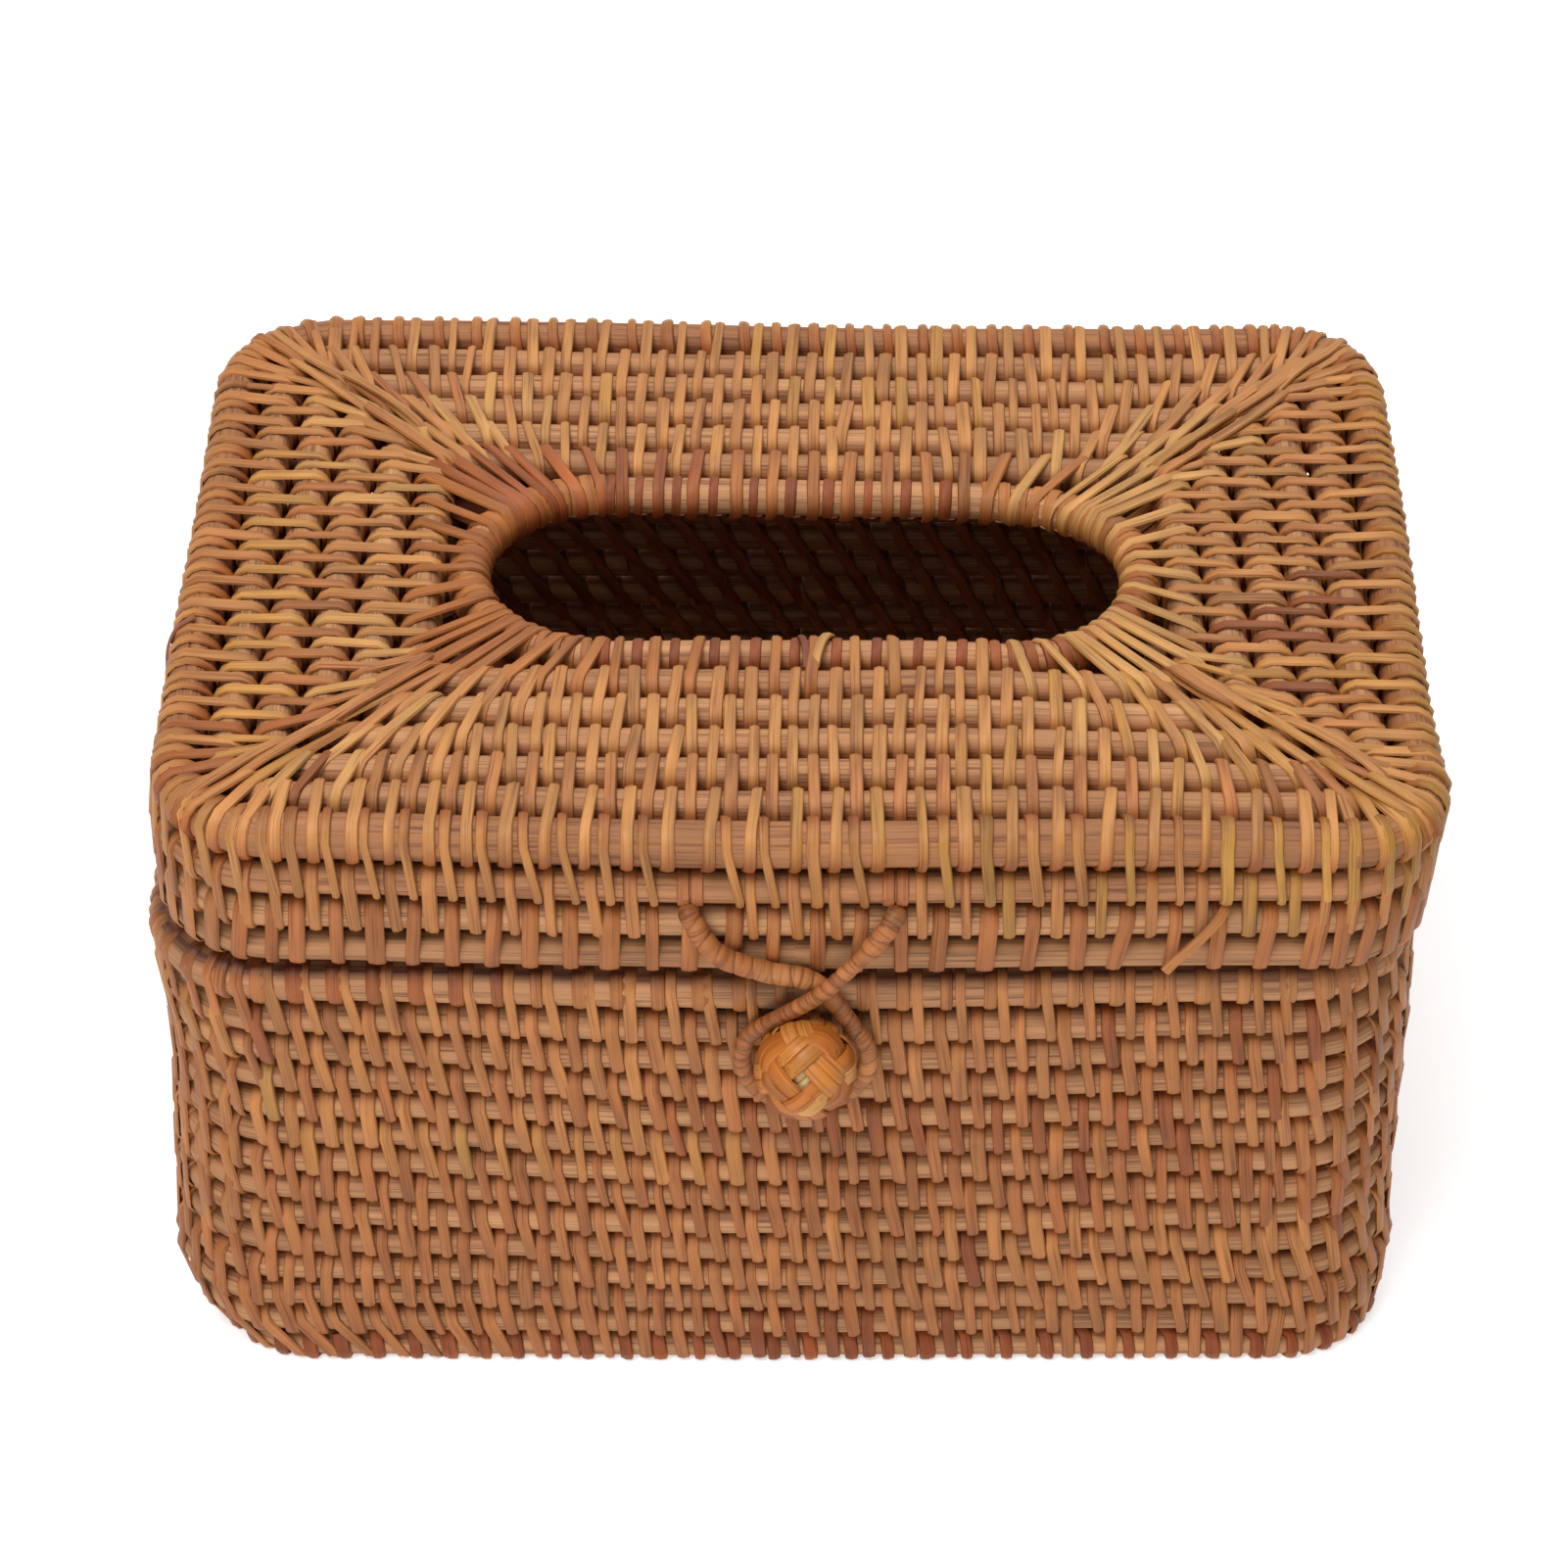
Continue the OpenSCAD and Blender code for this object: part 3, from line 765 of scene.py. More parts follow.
@dataclass(frozen=True)
class Seam:
    """A strip that runs in a spiral round two neighbouring hoops."""

    a: Hoop
    b: Hoop
    pitch: float
    phase: float
    width: float
    outside: Outside
    shades: Shades
    seed: int
    lean: float = 0.5
    thick: float = 0.62
    fit: float = 0.05
    skip: Skip = keep_all
    accents: tuple = ACCENTS
    corner_pitch: float = 5.2
    taper: float = -0.12
    # Whether the strips get the painted shadow of the gap under the lid
    gap: bool = False
    twist: float = 0.11

    STATIONS = 12
    HALF = 6
    EASE = 0.6

    def rings(self, at_a: Array, at_b: Array, pitch_a: Array, pitch_b: Array) -> tuple[Array, Array]:
        """Works out the strip's sections, twelve for each stitch.

        Six lie round hoop a and six round hoop b, thirty degrees apart. A section is at the middle line
        plus the rod's radius times (cosine of its angle away from the other hoop + sine of it outwards).
        The strip steps on to the next stitch on the inner side, between one stitch's last section and
        the next one's first, and is lifted there over the strips that it crosses. A strip that leans
        goes on leaning for a way round each rod: it drifts by slope * radius * EASE * (1 - exp(-t / EASE)),
        where t is the angle, in radians, from where it left the other rod.

        Args:
            at_a: each stitch's place on hoop a.
            at_b: each stitch's place on hoop b.
            pitch_a: each stitch's distance to the next on hoop a.
            pitch_b: the same on hoop b.

        Returns:
            The points and outward directions, as stitch * 12, three.
        """
        angle = np.radians(-75 + 30 * np.arange(self.HALF))
        drift = np.array([-0.07, -0.03, 0, 0, 0, 0])
        lift = np.array([0.35, 0.1, 0, 0, 0, 0])
        centre_a, heading_a, _ = self.a.at(at_a)
        centre_b, _, _ = self.b.at(at_b)
        between = (centre_b - centre_a)[:, None]
        lengthwise = np.sum(between[:, 0] * heading_a, axis=-1)
        straight = np.linalg.norm(between[:, 0] - lengthwise[:, None] * heading_a, axis=-1)
        slope = np.clip(lengthwise / np.maximum(straight, 1.0), -1.3, 1.3)[:, None]
        turned = np.radians(75) - angle
        ease = self.EASE * (1 - np.exp(-turned / self.EASE))
        points, normals = [], []
        for hoop, place, pitch, away, turn in (
            (self.a, at_a - self.lean / 2, pitch_a, -1, 1), (self.b, at_b + self.lean / 2, pitch_b, 1, -1)
        ):
            theta = angle[::turn]
            s = place[:, None] + turn * (drift[::turn]) * pitch[:, None]
            s = s - turn * slope * hoop.rod / 2 * ease[::turn]
            centre, heading, _ = hoop.at(s)
            d = unit(between - dot(between, heading) * heading)
            e = self.outside.value * np.cross(d, heading)
            spoke = away * np.cos(theta)[None, :, None] * d + np.sin(theta)[None, :, None] * e
            points.append(centre + spoke * (hoop.rod / 2 + self.fit + lift[::turn])[None, :, None])
            normals.append(spoke)
        path = np.concatenate(points, axis=1).reshape(-1, 3)
        return path, np.concatenate(normals, axis=1).reshape(-1, 3)

    def sew(self, work: StripWork) -> None:
        """Adds the seam's strips to the work, with a break at each place that is skipped."""
        rng = np.random.default_rng(self.seed)
        at_a = self.a.places(self.pitch, self.phase, self.corner_pitch)
        count = len(at_a)
        at_a = at_a + rng.normal(0, 0.2, count)
        at_b = facing(self.a, self.b, at_a)
        pitch_a = np.append(np.diff(at_a), at_a[0] + self.a.length - at_a[-1])
        pitch_b = np.append(np.diff(at_b), at_b[0] + self.b.length - at_b[-1])
        path, normal = self.rings(at_a, at_b + rng.normal(0, 0.26, count), pitch_a, pitch_b)
        path = path.reshape(count, self.STATIONS, 3)
        normal = normal.reshape(count, self.STATIONS, 3)
        station = np.arange(self.STATIONS) / (self.STATIONS - 1) - 0.5
        width = self.width * np.clip(rng.normal(1, 0.11, count), 0.72, 1.28)
        width = width[:, None] * (1 + rng.normal(self.taper, 0.12, count)[:, None] * station)
        across = unit(np.cross(np.gradient(path, axis=1), normal))
        twist = rng.normal(0, self.twist, count)[:, None, None]
        normal = normal * np.cos(twist) + across * np.sin(twist)
        tint = self.shades.pick(rng, count, 8, 26)
        middle = path[:, self.HALF]
        for accent in self.accents:
            tint = accent.paint(middle, tint, rng)
        kept = ~self.skip(middle)
        edges = np.flatnonzero(np.diff(np.concatenate([[0], kept.astype(int), [0]])))
        for first, last in zip(edges[::2], edges[1::2]):
            take = slice(first, last)
            sections = (last - first) * self.STATIONS
            work.add(
                path[take].reshape(1, sections, 3), normal[take].reshape(1, sections, 3),
                width[take].reshape(1, sections), self.thick,
                (tint[take][:, None] * self.painted_shade()).reshape(1, sections, 3))

    def painted_shade(self) -> Array:
        """Gives what painted shade leaves of the strip's colour at each station. It is darkest where the
        strip passes behind the rods, and a seam with gap set also gets the painted shadow of the gap under
        the lid on hoop a's side.
        """
        deep = np.array([1.0, 1.0, 0.85, 0.4, 0.06, 0.0])
        left = 1 - (1 - GROOVE_SHADE) * np.concatenate([deep, deep[::-1]])[:, None]
        if self.gap:
            left[:self.HALF] *= painted_gap_shadow(165 - 30 * np.arange(self.HALF))
        return left


@dataclass(frozen=True)
class Wrap:
    """Single turns of strip round one hoop, between the stitches of its seam."""

    hoop: Hoop
    pitch: float
    phase: float
    width: float
    shades: Shades
    seed: int
    lean: float = 0.4
    thick: float = 0.5
    fit: float = 0.05
    skip: Skip = keep_all
    corner_pitch: float = 5.2
    # Whether the turns get the painted shadow of the gap under the lid
    gap: bool = False

    STEPS = 13

    def wind(self, work: StripWork) -> None:
        """Adds the turns. Each goes once round the rod, and starts and ends on its inner, lower side."""
        steps = self.STEPS
        rng = np.random.default_rng(self.seed)
        place = self.hoop.places(self.pitch, self.phase, self.corner_pitch)
        place = place + rng.normal(0, 0.15, len(place))
        middle, _, outward = self.hoop.at(place)
        place = place[~self.skip(middle + outward * self.hoop.rod / 2)]
        angle = np.radians(220 + 30 * np.arange(steps))
        s = place[:, None] + self.lean * np.linspace(0.5, -0.5, steps)[None]
        centre, _, out = self.hoop.at(s)
        spoke = spokes(angle, out, UPWARD)
        path = centre + spoke * (self.hoop.rod / 2 + self.fit)
        width = self.width * np.clip(rng.normal(1, 0.12, len(place)), 0.7, 1.3)
        tint = np.repeat(self.shades.pick(rng, len(place), 5, 18)[:, None], steps, axis=1)
        # Painted shadow of the gap under the lid on the turns
        if self.gap:
            tint = tint * painted_gap_shadow(np.degrees(angle))[::-1]
        # The turn runs from below, over the outside, so its outward side is the spoke's
        work.add(
            path[:, ::-1], spoke[:, ::-1], np.repeat(width[:, None], steps, axis=1), self.thick, tint)


# The hoops' sizes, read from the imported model

CORNER_RADIUS = 20.0
FLOOR_CORNER_SHARE = 0.85
WALL_ROWS = 12
SKIRT_ROWS = 3
TOP_RINGS = 5
FLOOR_RINGS = 8
TOP_BEND = 6.0  # the smallest radius of a top ring's corners
# How far the sides bulge on this hand-made box, as height, left and right. The lid sits a little right.
BASE_LEAN = (
    (2, 1.1, 0.2), (8, -2.9, 0.9), (14, -4.3, 1.2), (24, -3.8, 0.5), (34, -3.3, 0.2), (60, -1.1, -0.4),
    (76, -2.2, -0.7), (85, -2.7, -1.1))
LID_LEAN = ((92, -0.4, -0.2), (106, -0.2, 0.7), (116, 0.5, 1.6))
LID_SAG = 1.1
# By height: how far the base's front is drawn in, how much its rows are raised there, and its bow
TUCK = ((2, 8, 14, 20), (0.9, 0.7, 0.35, 0.0))
LIFT = ((58, 64, 70, 76.5, 84), (0.0, 0.3, 0.6, 0.6, -0.4))
BOW = ((2, 14, 30, 50, 75, 85), (0.2, 1.1, 2.1, 2.7, 2.1, 1.9))
SQUARE = ((2, 14, 24), (2.6, 1.6, 0.0))  # how much smaller the corners' radius is near the foot
LID_BOW = (2.3, 0.8)


def hoop_of(
    node: str, seed: int, corner: Optional[float] = None, wander: float = 0.28,
    lean: tuple = BASE_LEAN, sag: float = 0.0,
) -> Hoop:
    """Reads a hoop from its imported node's box.

    Args:
        node: the CAD node.
        seed: the seed of its wander and its tint.
        corner: the radius of its middle line's corners, or None for a hoop of the outer wall.
        wander: how far its middle line strays.
        lean: heights, and how far the left and right sides are pushed there.
        sag: how far the right side sinks.

    Returns:
        The hoop.
    """
    low, high = box_mm(node)
    rod = high[2] - low[2]
    half = (high - low) / 2
    z = (low[2] + high[2]) / 2
    height, left, right = np.array(lean).T
    on_lid = lean is LID_LEAN
    return Hoop(
        half[0] - rod / 2, half[1] - rod / 2,
        CORNER_RADIUS - rod / 2 - np.interp(z, *SQUARE) if corner is None else corner,
        z, rod, wander, seed, np.interp(z, height, left), np.interp(z, height, right), sag,
        float(on_lid), np.interp(z, *TUCK), 0.0 if on_lid else np.interp(z, *LIFT),
        LID_BOW if on_lid else (np.interp(z, *BOW),) * 2)


@dataclass
class Hoops:
    """All hoops of the box, by node name."""

    table: dict = field(default_factory=dict)

    def __post_init__(self) -> None:
        """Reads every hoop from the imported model."""
        table = self.table
        table["base_rim_hoop"] = hoop_of("base_rim_hoop", 1, wander=0.0)
        for row in range(1, WALL_ROWS + 1):
            table[f"wall_hoop_{row:02d}"] = hoop_of(f"wall_hoop_{row:02d}", 10 + row)
        last, before = table["wall_hoop_12"], table["wall_hoop_11"]
        foot_z = last.height - (before.height - last.height)
        table["foot_hoop"] = Hoop(
            last.half_x, last.half_y, last.corner, foot_z, last.rod, 0.12, 30, *BASE_LEAN[0][1:],
            tuck=TUCK[1][0], bow=(BOW[1][0],) * 2)
        for k in range(1, FLOOR_RINGS + 1):
            low, high = box_mm(f"floor_ring_{k}")
            half_y = (high[1] - low[1] - (high[2] - low[2])) / 2
            corner = min(last.corner, half_y * FLOOR_CORNER_SHARE)
            ring = hoop_of(f"floor_ring_{k}", 40 + k, corner, 0.1)
            share = 1 - k / (FLOOR_RINGS + 1)
            table[f"floor_ring_{k}"] = replace(ring, tuck=ring.tuck * share, bow=(ring.bow[0] * share,) * 2)
        table["lid_edge_hoop"] = hoop_of("lid_edge_hoop", 60, None, 0.3, LID_LEAN, LID_SAG)
        for row in range(1, SKIRT_ROWS + 1):
            sag = 0.15 * LID_SAG * (SKIRT_ROWS - row)
            table[f"skirt_hoop_{row}"] = hoop_of(f"skirt_hoop_{row}", 60 + row, None, 0.12, LID_LEAN, sag)
        edge = table["lid_edge_hoop"]
        for k in range(1, TOP_RINGS + 1):
            ring = hoop_of(f"top_ring_{k}", 70 + k, TOP_BEND, 0.2, LID_LEAN, LID_SAG)
            corner = max(edge.corner - edge.half_x + ring.half_x, TOP_BEND)
            share = k / (TOP_RINGS + 1)
            table[f"top_ring_{k}"] = replace(
                ring, corner=corner, left=ring.left + share, right=ring.right + share, skew=1 - share,
                bow=tuple(b * (1 - share) for b in ring.bow))
        low, high = box_mm("slot_rim_hoop")
        slot_corner = (high[1] - low[1] - (high[2] - low[2])) / 2
        rim = hoop_of("slot_rim_hoop", 80, slot_corner, 0.1, LID_LEAN, LID_SAG)
        table["slot_rim_hoop"] = replace(
            rim, left=rim.left + 1, right=rim.right + 1, skew=0.0, bow=(0.0, 0.0))

    def __getitem__(self, node: str) -> Hoop:
        """Gives one hoop."""
        return self.table[node]


# Base

# The rim's seam and the lid's lowest one are thin and flat: they pass close by each other as the lid turns
FLAT_THICK, FLAT_TWIST = 0.45, 0.04
CLOSE_PITCH = 4.2  # between stitches on the corners, at the rim and the skirt
FACE_Y = 60.0  # what lies beyond this, to the front or back, is on the front or back wall
FOOT_LOWEST = 0.35  # the foot's rod is flattened here, and its strips go on down to the table
LASHING_X = 48.0
LASHING_TURNS = 6
LASHING_PITCH = 2.3
LASHING_CLEAR = 9.0


def at_lashings(point: Array) -> Array:
    """Skips stitches under the hinge's lashings, at the back."""
    return (point[..., 1] > FACE_Y) & (np.abs(np.abs(point[..., 0]) - LASHING_X) < LASHING_CLEAR)


@dataclass(frozen=True)
class Base:
    """The box's lower part: rim hoop, twelve wall hoops, foot hoop, and the woven floor."""

    hoops: Hoops
    pitch: float = 6.4
    strip: float = 2.15
    rim_strip: float = 1.8
    rim_wrap: float = 2.3
    strap_x: float = 1.75
    strap_clear: float = 3.4

    def build(self, rod: bpy.types.Material, strip: bpy.types.Material) -> None:
        """Makes the rods and all strip work of the base."""
        rods = RodWork()
        rows = [f"wall_hoop_{row:02d}" for row in range(1, WALL_ROWS + 1)]
        names = ["base_rim_hoop"] + rows + ["foot_hoop"]
        # Sides of each rod that get painted shade; none where the rim hoop and the first wall hoop meet
        shaded_sides = {"base_rim_hoop": (180,), "wall_hoop_01": (-90, 180)}
        for node in names:
            # The rim hoop gets the painted shadow of the gap under the lid
            faces_lid = node == "base_rim_hoop"
            (RodWork(sides=28) if faces_lid else rods).build(
                node, self.hoops[node], "base", rod, shaded_sides.get(node, (90, -90, 180)),
                FOOT_LOWEST if node == "foot_hoop" else ANY_DEPTH, faces_lid)
        for node in numbered("floor_ring", FLOOR_RINGS):
            rods.build(node, self.hoops[node], "base", rod, (0, 180, 90))
        self._rim(strip)
        groups = {"upper": (1, 4), "middle": (5, 8), "lower": (9, 12)}
        for group, (first, last) in groups.items():
            work = StripWork(lowest=0.0)
            for row in range(first, last + 1):
                self._seam(names[row], names[row + 1], row, self.strip).sew(work)
            work.stand_for(f"wall_binding_{group}", strip, "base")
        self._floor(rod, strip)

    def _seam(self, a: str, b: str, row: int, width: float, skip: Skip = keep_all) -> Seam:
        """Gives the wall's seam below a row, half a pitch on from the one above."""
        # The rim's seam, row 0, gets the painted shadow of the gap under the lid
        return Seam(
            self.hoops[a], self.hoops[b], self.pitch, 0.5 * (row % 2), width, Outside.OUT, WALL_SHADES,
            200 + row, lean=1.0, skip=skip, fit=row_fit(row), gap=row == 0,
            corner_pitch=CLOSE_PITCH if row == 0 else Seam.corner_pitch,
            thick=FLAT_THICK if row == 0 else Seam.thick, twist=FLAT_TWIST if row == 0 else Seam.twist)

    def _rim(self, strip: bpy.types.Material) -> None:
        """Binds the rim hoop to the first wall hoop, with single turns between the stitches."""
        work = StripWork()

        def skip(point: Array) -> Array:
            """Skips the lashings and the button's strap."""
            strap = (point[..., 1] < -FACE_Y) & (np.abs(point[..., 0] - self.strap_x) < self.strap_clear)
            return at_lashings(point) | strap

        self._seam("base_rim_hoop", "wall_hoop_01", 0, self.rim_strip, skip).sew(work)
        # The rim's turns get the painted shadow of the gap under the lid
        Wrap(
            self.hoops["base_rim_hoop"], self.pitch, -0.36, self.rim_wrap, WALL_SHADES, 230,
            skip=at_lashings, gap=True
        ).wind(work)
        work.stand_for("rim_binding", strip, "base")

    def _floor(self, rod: bpy.types.Material, strip: bpy.types.Material) -> None:
        """Binds the nested floor rings and lays the middle rod."""
        work = StripWork(lowest=0.0)
        names = ["foot_hoop"] + numbered("floor_ring", FLOOR_RINGS)
        for k in range(FLOOR_RINGS):
            Seam(
                self.hoops[names[k]], self.hoops[names[k + 1]], self.pitch, 0.5 * ((k + 1) % 2), self.strip,
                Outside.OUT, WALL_SHADES, 240 + k, lean=0.3, fit=row_fit(k + 1)).sew(work)
        low, high = box_mm("floor_middle_rod")
        inner = self.hoops[names[-1]]
        radius = (high[2] - low[2]) / 2
        middle = Hoop(high[0] + 1.0, 1.0, 0.999, inner.height, 2 * radius, 0.0, 49)
        place = np.concatenate([
            m + np.arange(-4, 4) * self.pitch + self.pitch / 2 for m in (0.0, inner.length / 2)])
        count = len(place)
        seam = Seam(
            inner, middle, self.pitch, 0.0, self.strip, Outside.OUT, WALL_SHADES, 250, lean=0.3)
        onto = np.where(np.arange(count) < count / 2, place, place - inner.length / 2 + middle.length / 2)
        pitch = np.full(count, self.pitch)
        path, normal = seam.rings(place, onto, pitch, pitch)
        each = Seam.STATIONS
        tint = np.repeat(WALL_SHADES.pick(np.random.default_rng(251), count, 3, 9), each, axis=0)
        for half in (0, 1):
            take = slice(half * count // 2 * each, (half + 1) * count // 2 * each)
            work.add(path[take][None], normal[take][None], self.strip, 0.6, tint[take][None])
        work.stand_for("floor_binding", strip, "base")
        self._middle_rod(rod, low, high)

    @staticmethod
    def _middle_rod(material: bpy.types.Material, low: Array, high: Array) -> None:
        """Makes the straight middle rod of the floor, its ends rounded by two smaller sections."""
        radius = (high[2] - low[2]) / 2
        centre = (low + high) / 2
        x = np.concatenate([
            [low[0], low[0] + 0.25, low[0] + 1.2], np.linspace(low[0] + 4, high[0] - 4, 16),
            [high[0] - 1.2, high[0] - 0.25, high[0]]])
        share = np.concatenate([[0.02, 0.7, 1.0], np.ones(16), [1.0, 0.7, 0.02]])
        sides = RodWork.sides
        angle = circle(sides)
        ring = np.stack([np.zeros(sides), np.cos(angle), np.sin(angle)], axis=-1)
        points = ring[None] * (radius * share)[:, None, None] + [0, centre[1], centre[2]]
        points[..., 0] += x[:, None]
        faces = tube_faces(len(x), sides)[..., ::-1].reshape(-1, 4)
        caps = np.stack([np.arange(sides), (len(x) - 1) * sides + np.arange(sides)[::-1]])
        corners = np.concatenate([faces.ravel(), caps.ravel()])
        uv = np.stack([np.repeat(x, sides), np.tile(angle * radius, len(x))], axis=-1)[corners]
        tint = np.tile(np.array(linear(ROD_TINTS[0])), (len(x) * sides, 1))
        new_piece(
            "floor_middle_rod_cane", points.reshape(-1, 3), [faces, caps], uv, tint, material, "base",
            ["floor_middle_rod"])


# Lid

EYES_X = (-15.85, 15.35)
EYE_CLEAR = 3.4


def at_eyes(point: Array) -> Array:
    """Skips stitches where the clasp's ends go round the lid's top skirt hoop."""
    near = np.zeros(point.shape[:-1], bool)
    for x in EYES_X:
        near |= np.abs(point[..., 0] - x) < EYE_CLEAR
    return near & (point[..., 1] < -FACE_Y)


@dataclass(frozen=True)
class Lid:
    """The lid: edge hoop, three skirt hoops, five nested top hoops and the slot's rim."""

    hoops: Hoops
    pitch: float = 6.4
    top_strip: float = 1.95

    def build(self, rod: bpy.types.Material, strip: bpy.types.Material) -> None:
        """Makes the rods and all strip work of the lid."""
        rods = RodWork()
        names = (
            ["lid_edge_hoop"] + numbered("skirt_hoop", SKIRT_ROWS) + numbered("top_ring", TOP_RINGS)
            + ["slot_rim_hoop"])
        # Sides of each rod that get painted shade
        shaded_sides = {"lid_edge_hoop": (-90, 180), "slot_rim_hoop": (0, -90), "skirt_hoop_3": (180,)}
        shades = {"lid_edge_hoop": "#A47049", "skirt_hoop_1": "#AC7851"}
        for node in names:
            usual = (-90, 180) if node.startswith("skirt") else (0, 180, -90)
            rods.build(
                node, self.hoops[node], "lid", rod, shaded_sides.get(node, usual), shade=shades.get(node))
        edge = StripWork()
        down = self._down("lid_edge_hoop", "skirt_hoop_1", 1, 1.65, 1.3, at_eyes)
        replace(down, shades=EDGE_SHADES, taper=-0.45).sew(edge)
        self._in("lid_edge_hoop", "top_ring_1", 0).sew(edge)
        edge.stand_for("edge_binding", strip, "lid")
        skirt = StripWork()
        self._down("skirt_hoop_1", "skirt_hoop_2", 2, 1.95, 0.35, at_eyes).sew(skirt)
        lowest = self._down("skirt_hoop_2", "skirt_hoop_3", 3, 2.5, -0.4, at_lashings)
        replace(lowest, thick=FLAT_THICK, twist=FLAT_TWIST).sew(skirt)
        skirt.stand_for("skirt_binding", strip, "lid")
        for group, (first, last) in {"outer": (1, 2), "inner": (3, 4)}.items():
            work = StripWork()
            for k in range(first, last + 1):
                self._in(f"top_ring_{k}", f"top_ring_{k + 1}", k).sew(work)
            work.stand_for(f"top_binding_{group}", strip, "lid")
        self._slot(strip)
        self._corners(strip)
        self._loose_ends(strip)
        self._lashings(strip)

    def _down(self, a: str, b: str, row: int, width: float, lean: float, skip: Skip) -> Seam:
        """Gives a seam of the lid's skirt."""
        return Seam(
            self.hoops[a], self.hoops[b], self.pitch, 0.5 * (row % 2), width, Outside.OUT, WALL_SHADES,
            300 + row, lean=lean, skip=skip, fit=row_fit(row), corner_pitch=CLOSE_PITCH)

    def _in(self, a: str, b: str, k: int) -> Seam:
        """Gives a seam of the lid's top, from the outer hoop a to the inner hoop b."""
        return Seam(
            self.hoops[a], self.hoops[b], self.pitch, 0.5 * (k % 2), self.top_strip, Outside.UP, TOP_SHADES,
            320 + k, lean=0.4, corner_pitch=3.9, fit=row_fit(k))

    def _slot(self, strip: bpy.types.Material) -> None:
        """Binds the slot's rim, with single dark turns between the stitches.

        The strips are reddish round the left end, and pale between dark turns round the right one.
        """
        work = StripWork()
        rim = self.hoops["slot_rim_hoop"]
        outer = self.hoops[f"top_ring_{TOP_RINGS}"]
        accents = (
            Accent((8, 80), (-40, 0), (100, 130), "#B87D45", 0.75),
            Accent((34, 80), (-40, 40), (100, 130), "#C89456", 0.9))
        Seam(
            outer, rim, self.pitch, 0.5, 1.9, Outside.UP, SLOT_SHADES, 340, lean=0.5, accents=accents,
            corner_pitch=3.6, fit=row_fit(1)
        ).sew(work)

        def bend(point: Array) -> Array:
            """Skips the slot's round ends."""
            return np.abs(point[..., 0]) > rim.run_x

        Wrap(rim, self.pitch, 0.0, 1.7, TURN_SHADES, 341, lean=-0.9, thick=0.42, skip=bend).wind(work)
        Wrap(
            rim, self.pitch, 0.0, 2.0, SLOT_SHADES, 342, lean=0.6, thick=0.5,
            skip=lambda point: ~bend(point), corner_pitch=2.5
        ).wind(work)
        work.stand_for("slot_binding", strip, "lid")

    def _corners(self, strip: bpy.types.Material) -> None:
        """Lays the long strips that run down the four diagonals of the top, over two or three hoops.

        Each starts in the gap outside one ring and ends in the gap inside another. Between them it lies
        on the rings, and it bows a little to one side.
        """
        work = StripWork()
        rings = [self.hoops[node] for node in ["lid_edge_hoop"] + numbered("top_ring", TOP_RINGS)]
        rng = np.random.default_rng(360)
        share = np.array([0.0, 0.06, 0.14, 0.3, 0.5, 0.7, 0.86, 0.94, 1.0])
        rise = np.array([-3.6, -1.0, 0.25, 0.62, 0.7, 0.62, 0.25, -1.0, -3.6])
        # Painted shade: the ends darken where they dip into the gaps between rings
        deep = np.array([1.0, 0.6, 0.15, 0, 0, 0, 0.15, 0.6, 1.0])[:, None]
        for corner in range(4):
            for first, last, beside in (
                (0, 2, -1.6), (0, 1, 1.2), (1, 3, 1.4), (2, 4, -1.4), (3, 5, 1.0), (4, 5, -1.0),
            ):
                beside = beside + rng.uniform(-0.7, 0.7)
                ends = []
                for k, away in ((first, 1), (last, -1)):
                    ring = rings[k]
                    middle = ring.run_x + ring.bend / 2
                    half = ring.length / 2
                    place = (middle, half - middle, half + middle, ring.length - middle)[corner]
                    point, heading, outward = ring.at(np.array([place]))
                    ends.append((point + outward * away * (ring.rod / 2 + 0.5) + heading * beside)[0])
                start, end = ends
                along = unit(end - start)
                aside = np.array([-along[1], along[0], 0.0])
                path = start + (end - start) * share[:, None]
                path = path + aside * (rng.uniform(-1.9, 1.9) * 4 * share * (1 - share))[:, None]
                path[:, 2] += rings[1].rod / 2 + 0.55 + rise
                flat = np.gradient(path, axis=0)
                normal = unit(np.cross(np.cross(flat, UPWARD), flat))
                tint = TOP_SHADES.pick(rng, 1, 1, 1) * (1 - (1 - GROOVE_SHADE) * deep)
                work.add(path[None], normal[None], rng.uniform(1.4, 1.9), 0.6, tint[None])
        nodes = ["top_binding_outer", "top_binding_inner"]
        work.build("top_corner_strips", strip, "lid", "cane_strip", nodes)

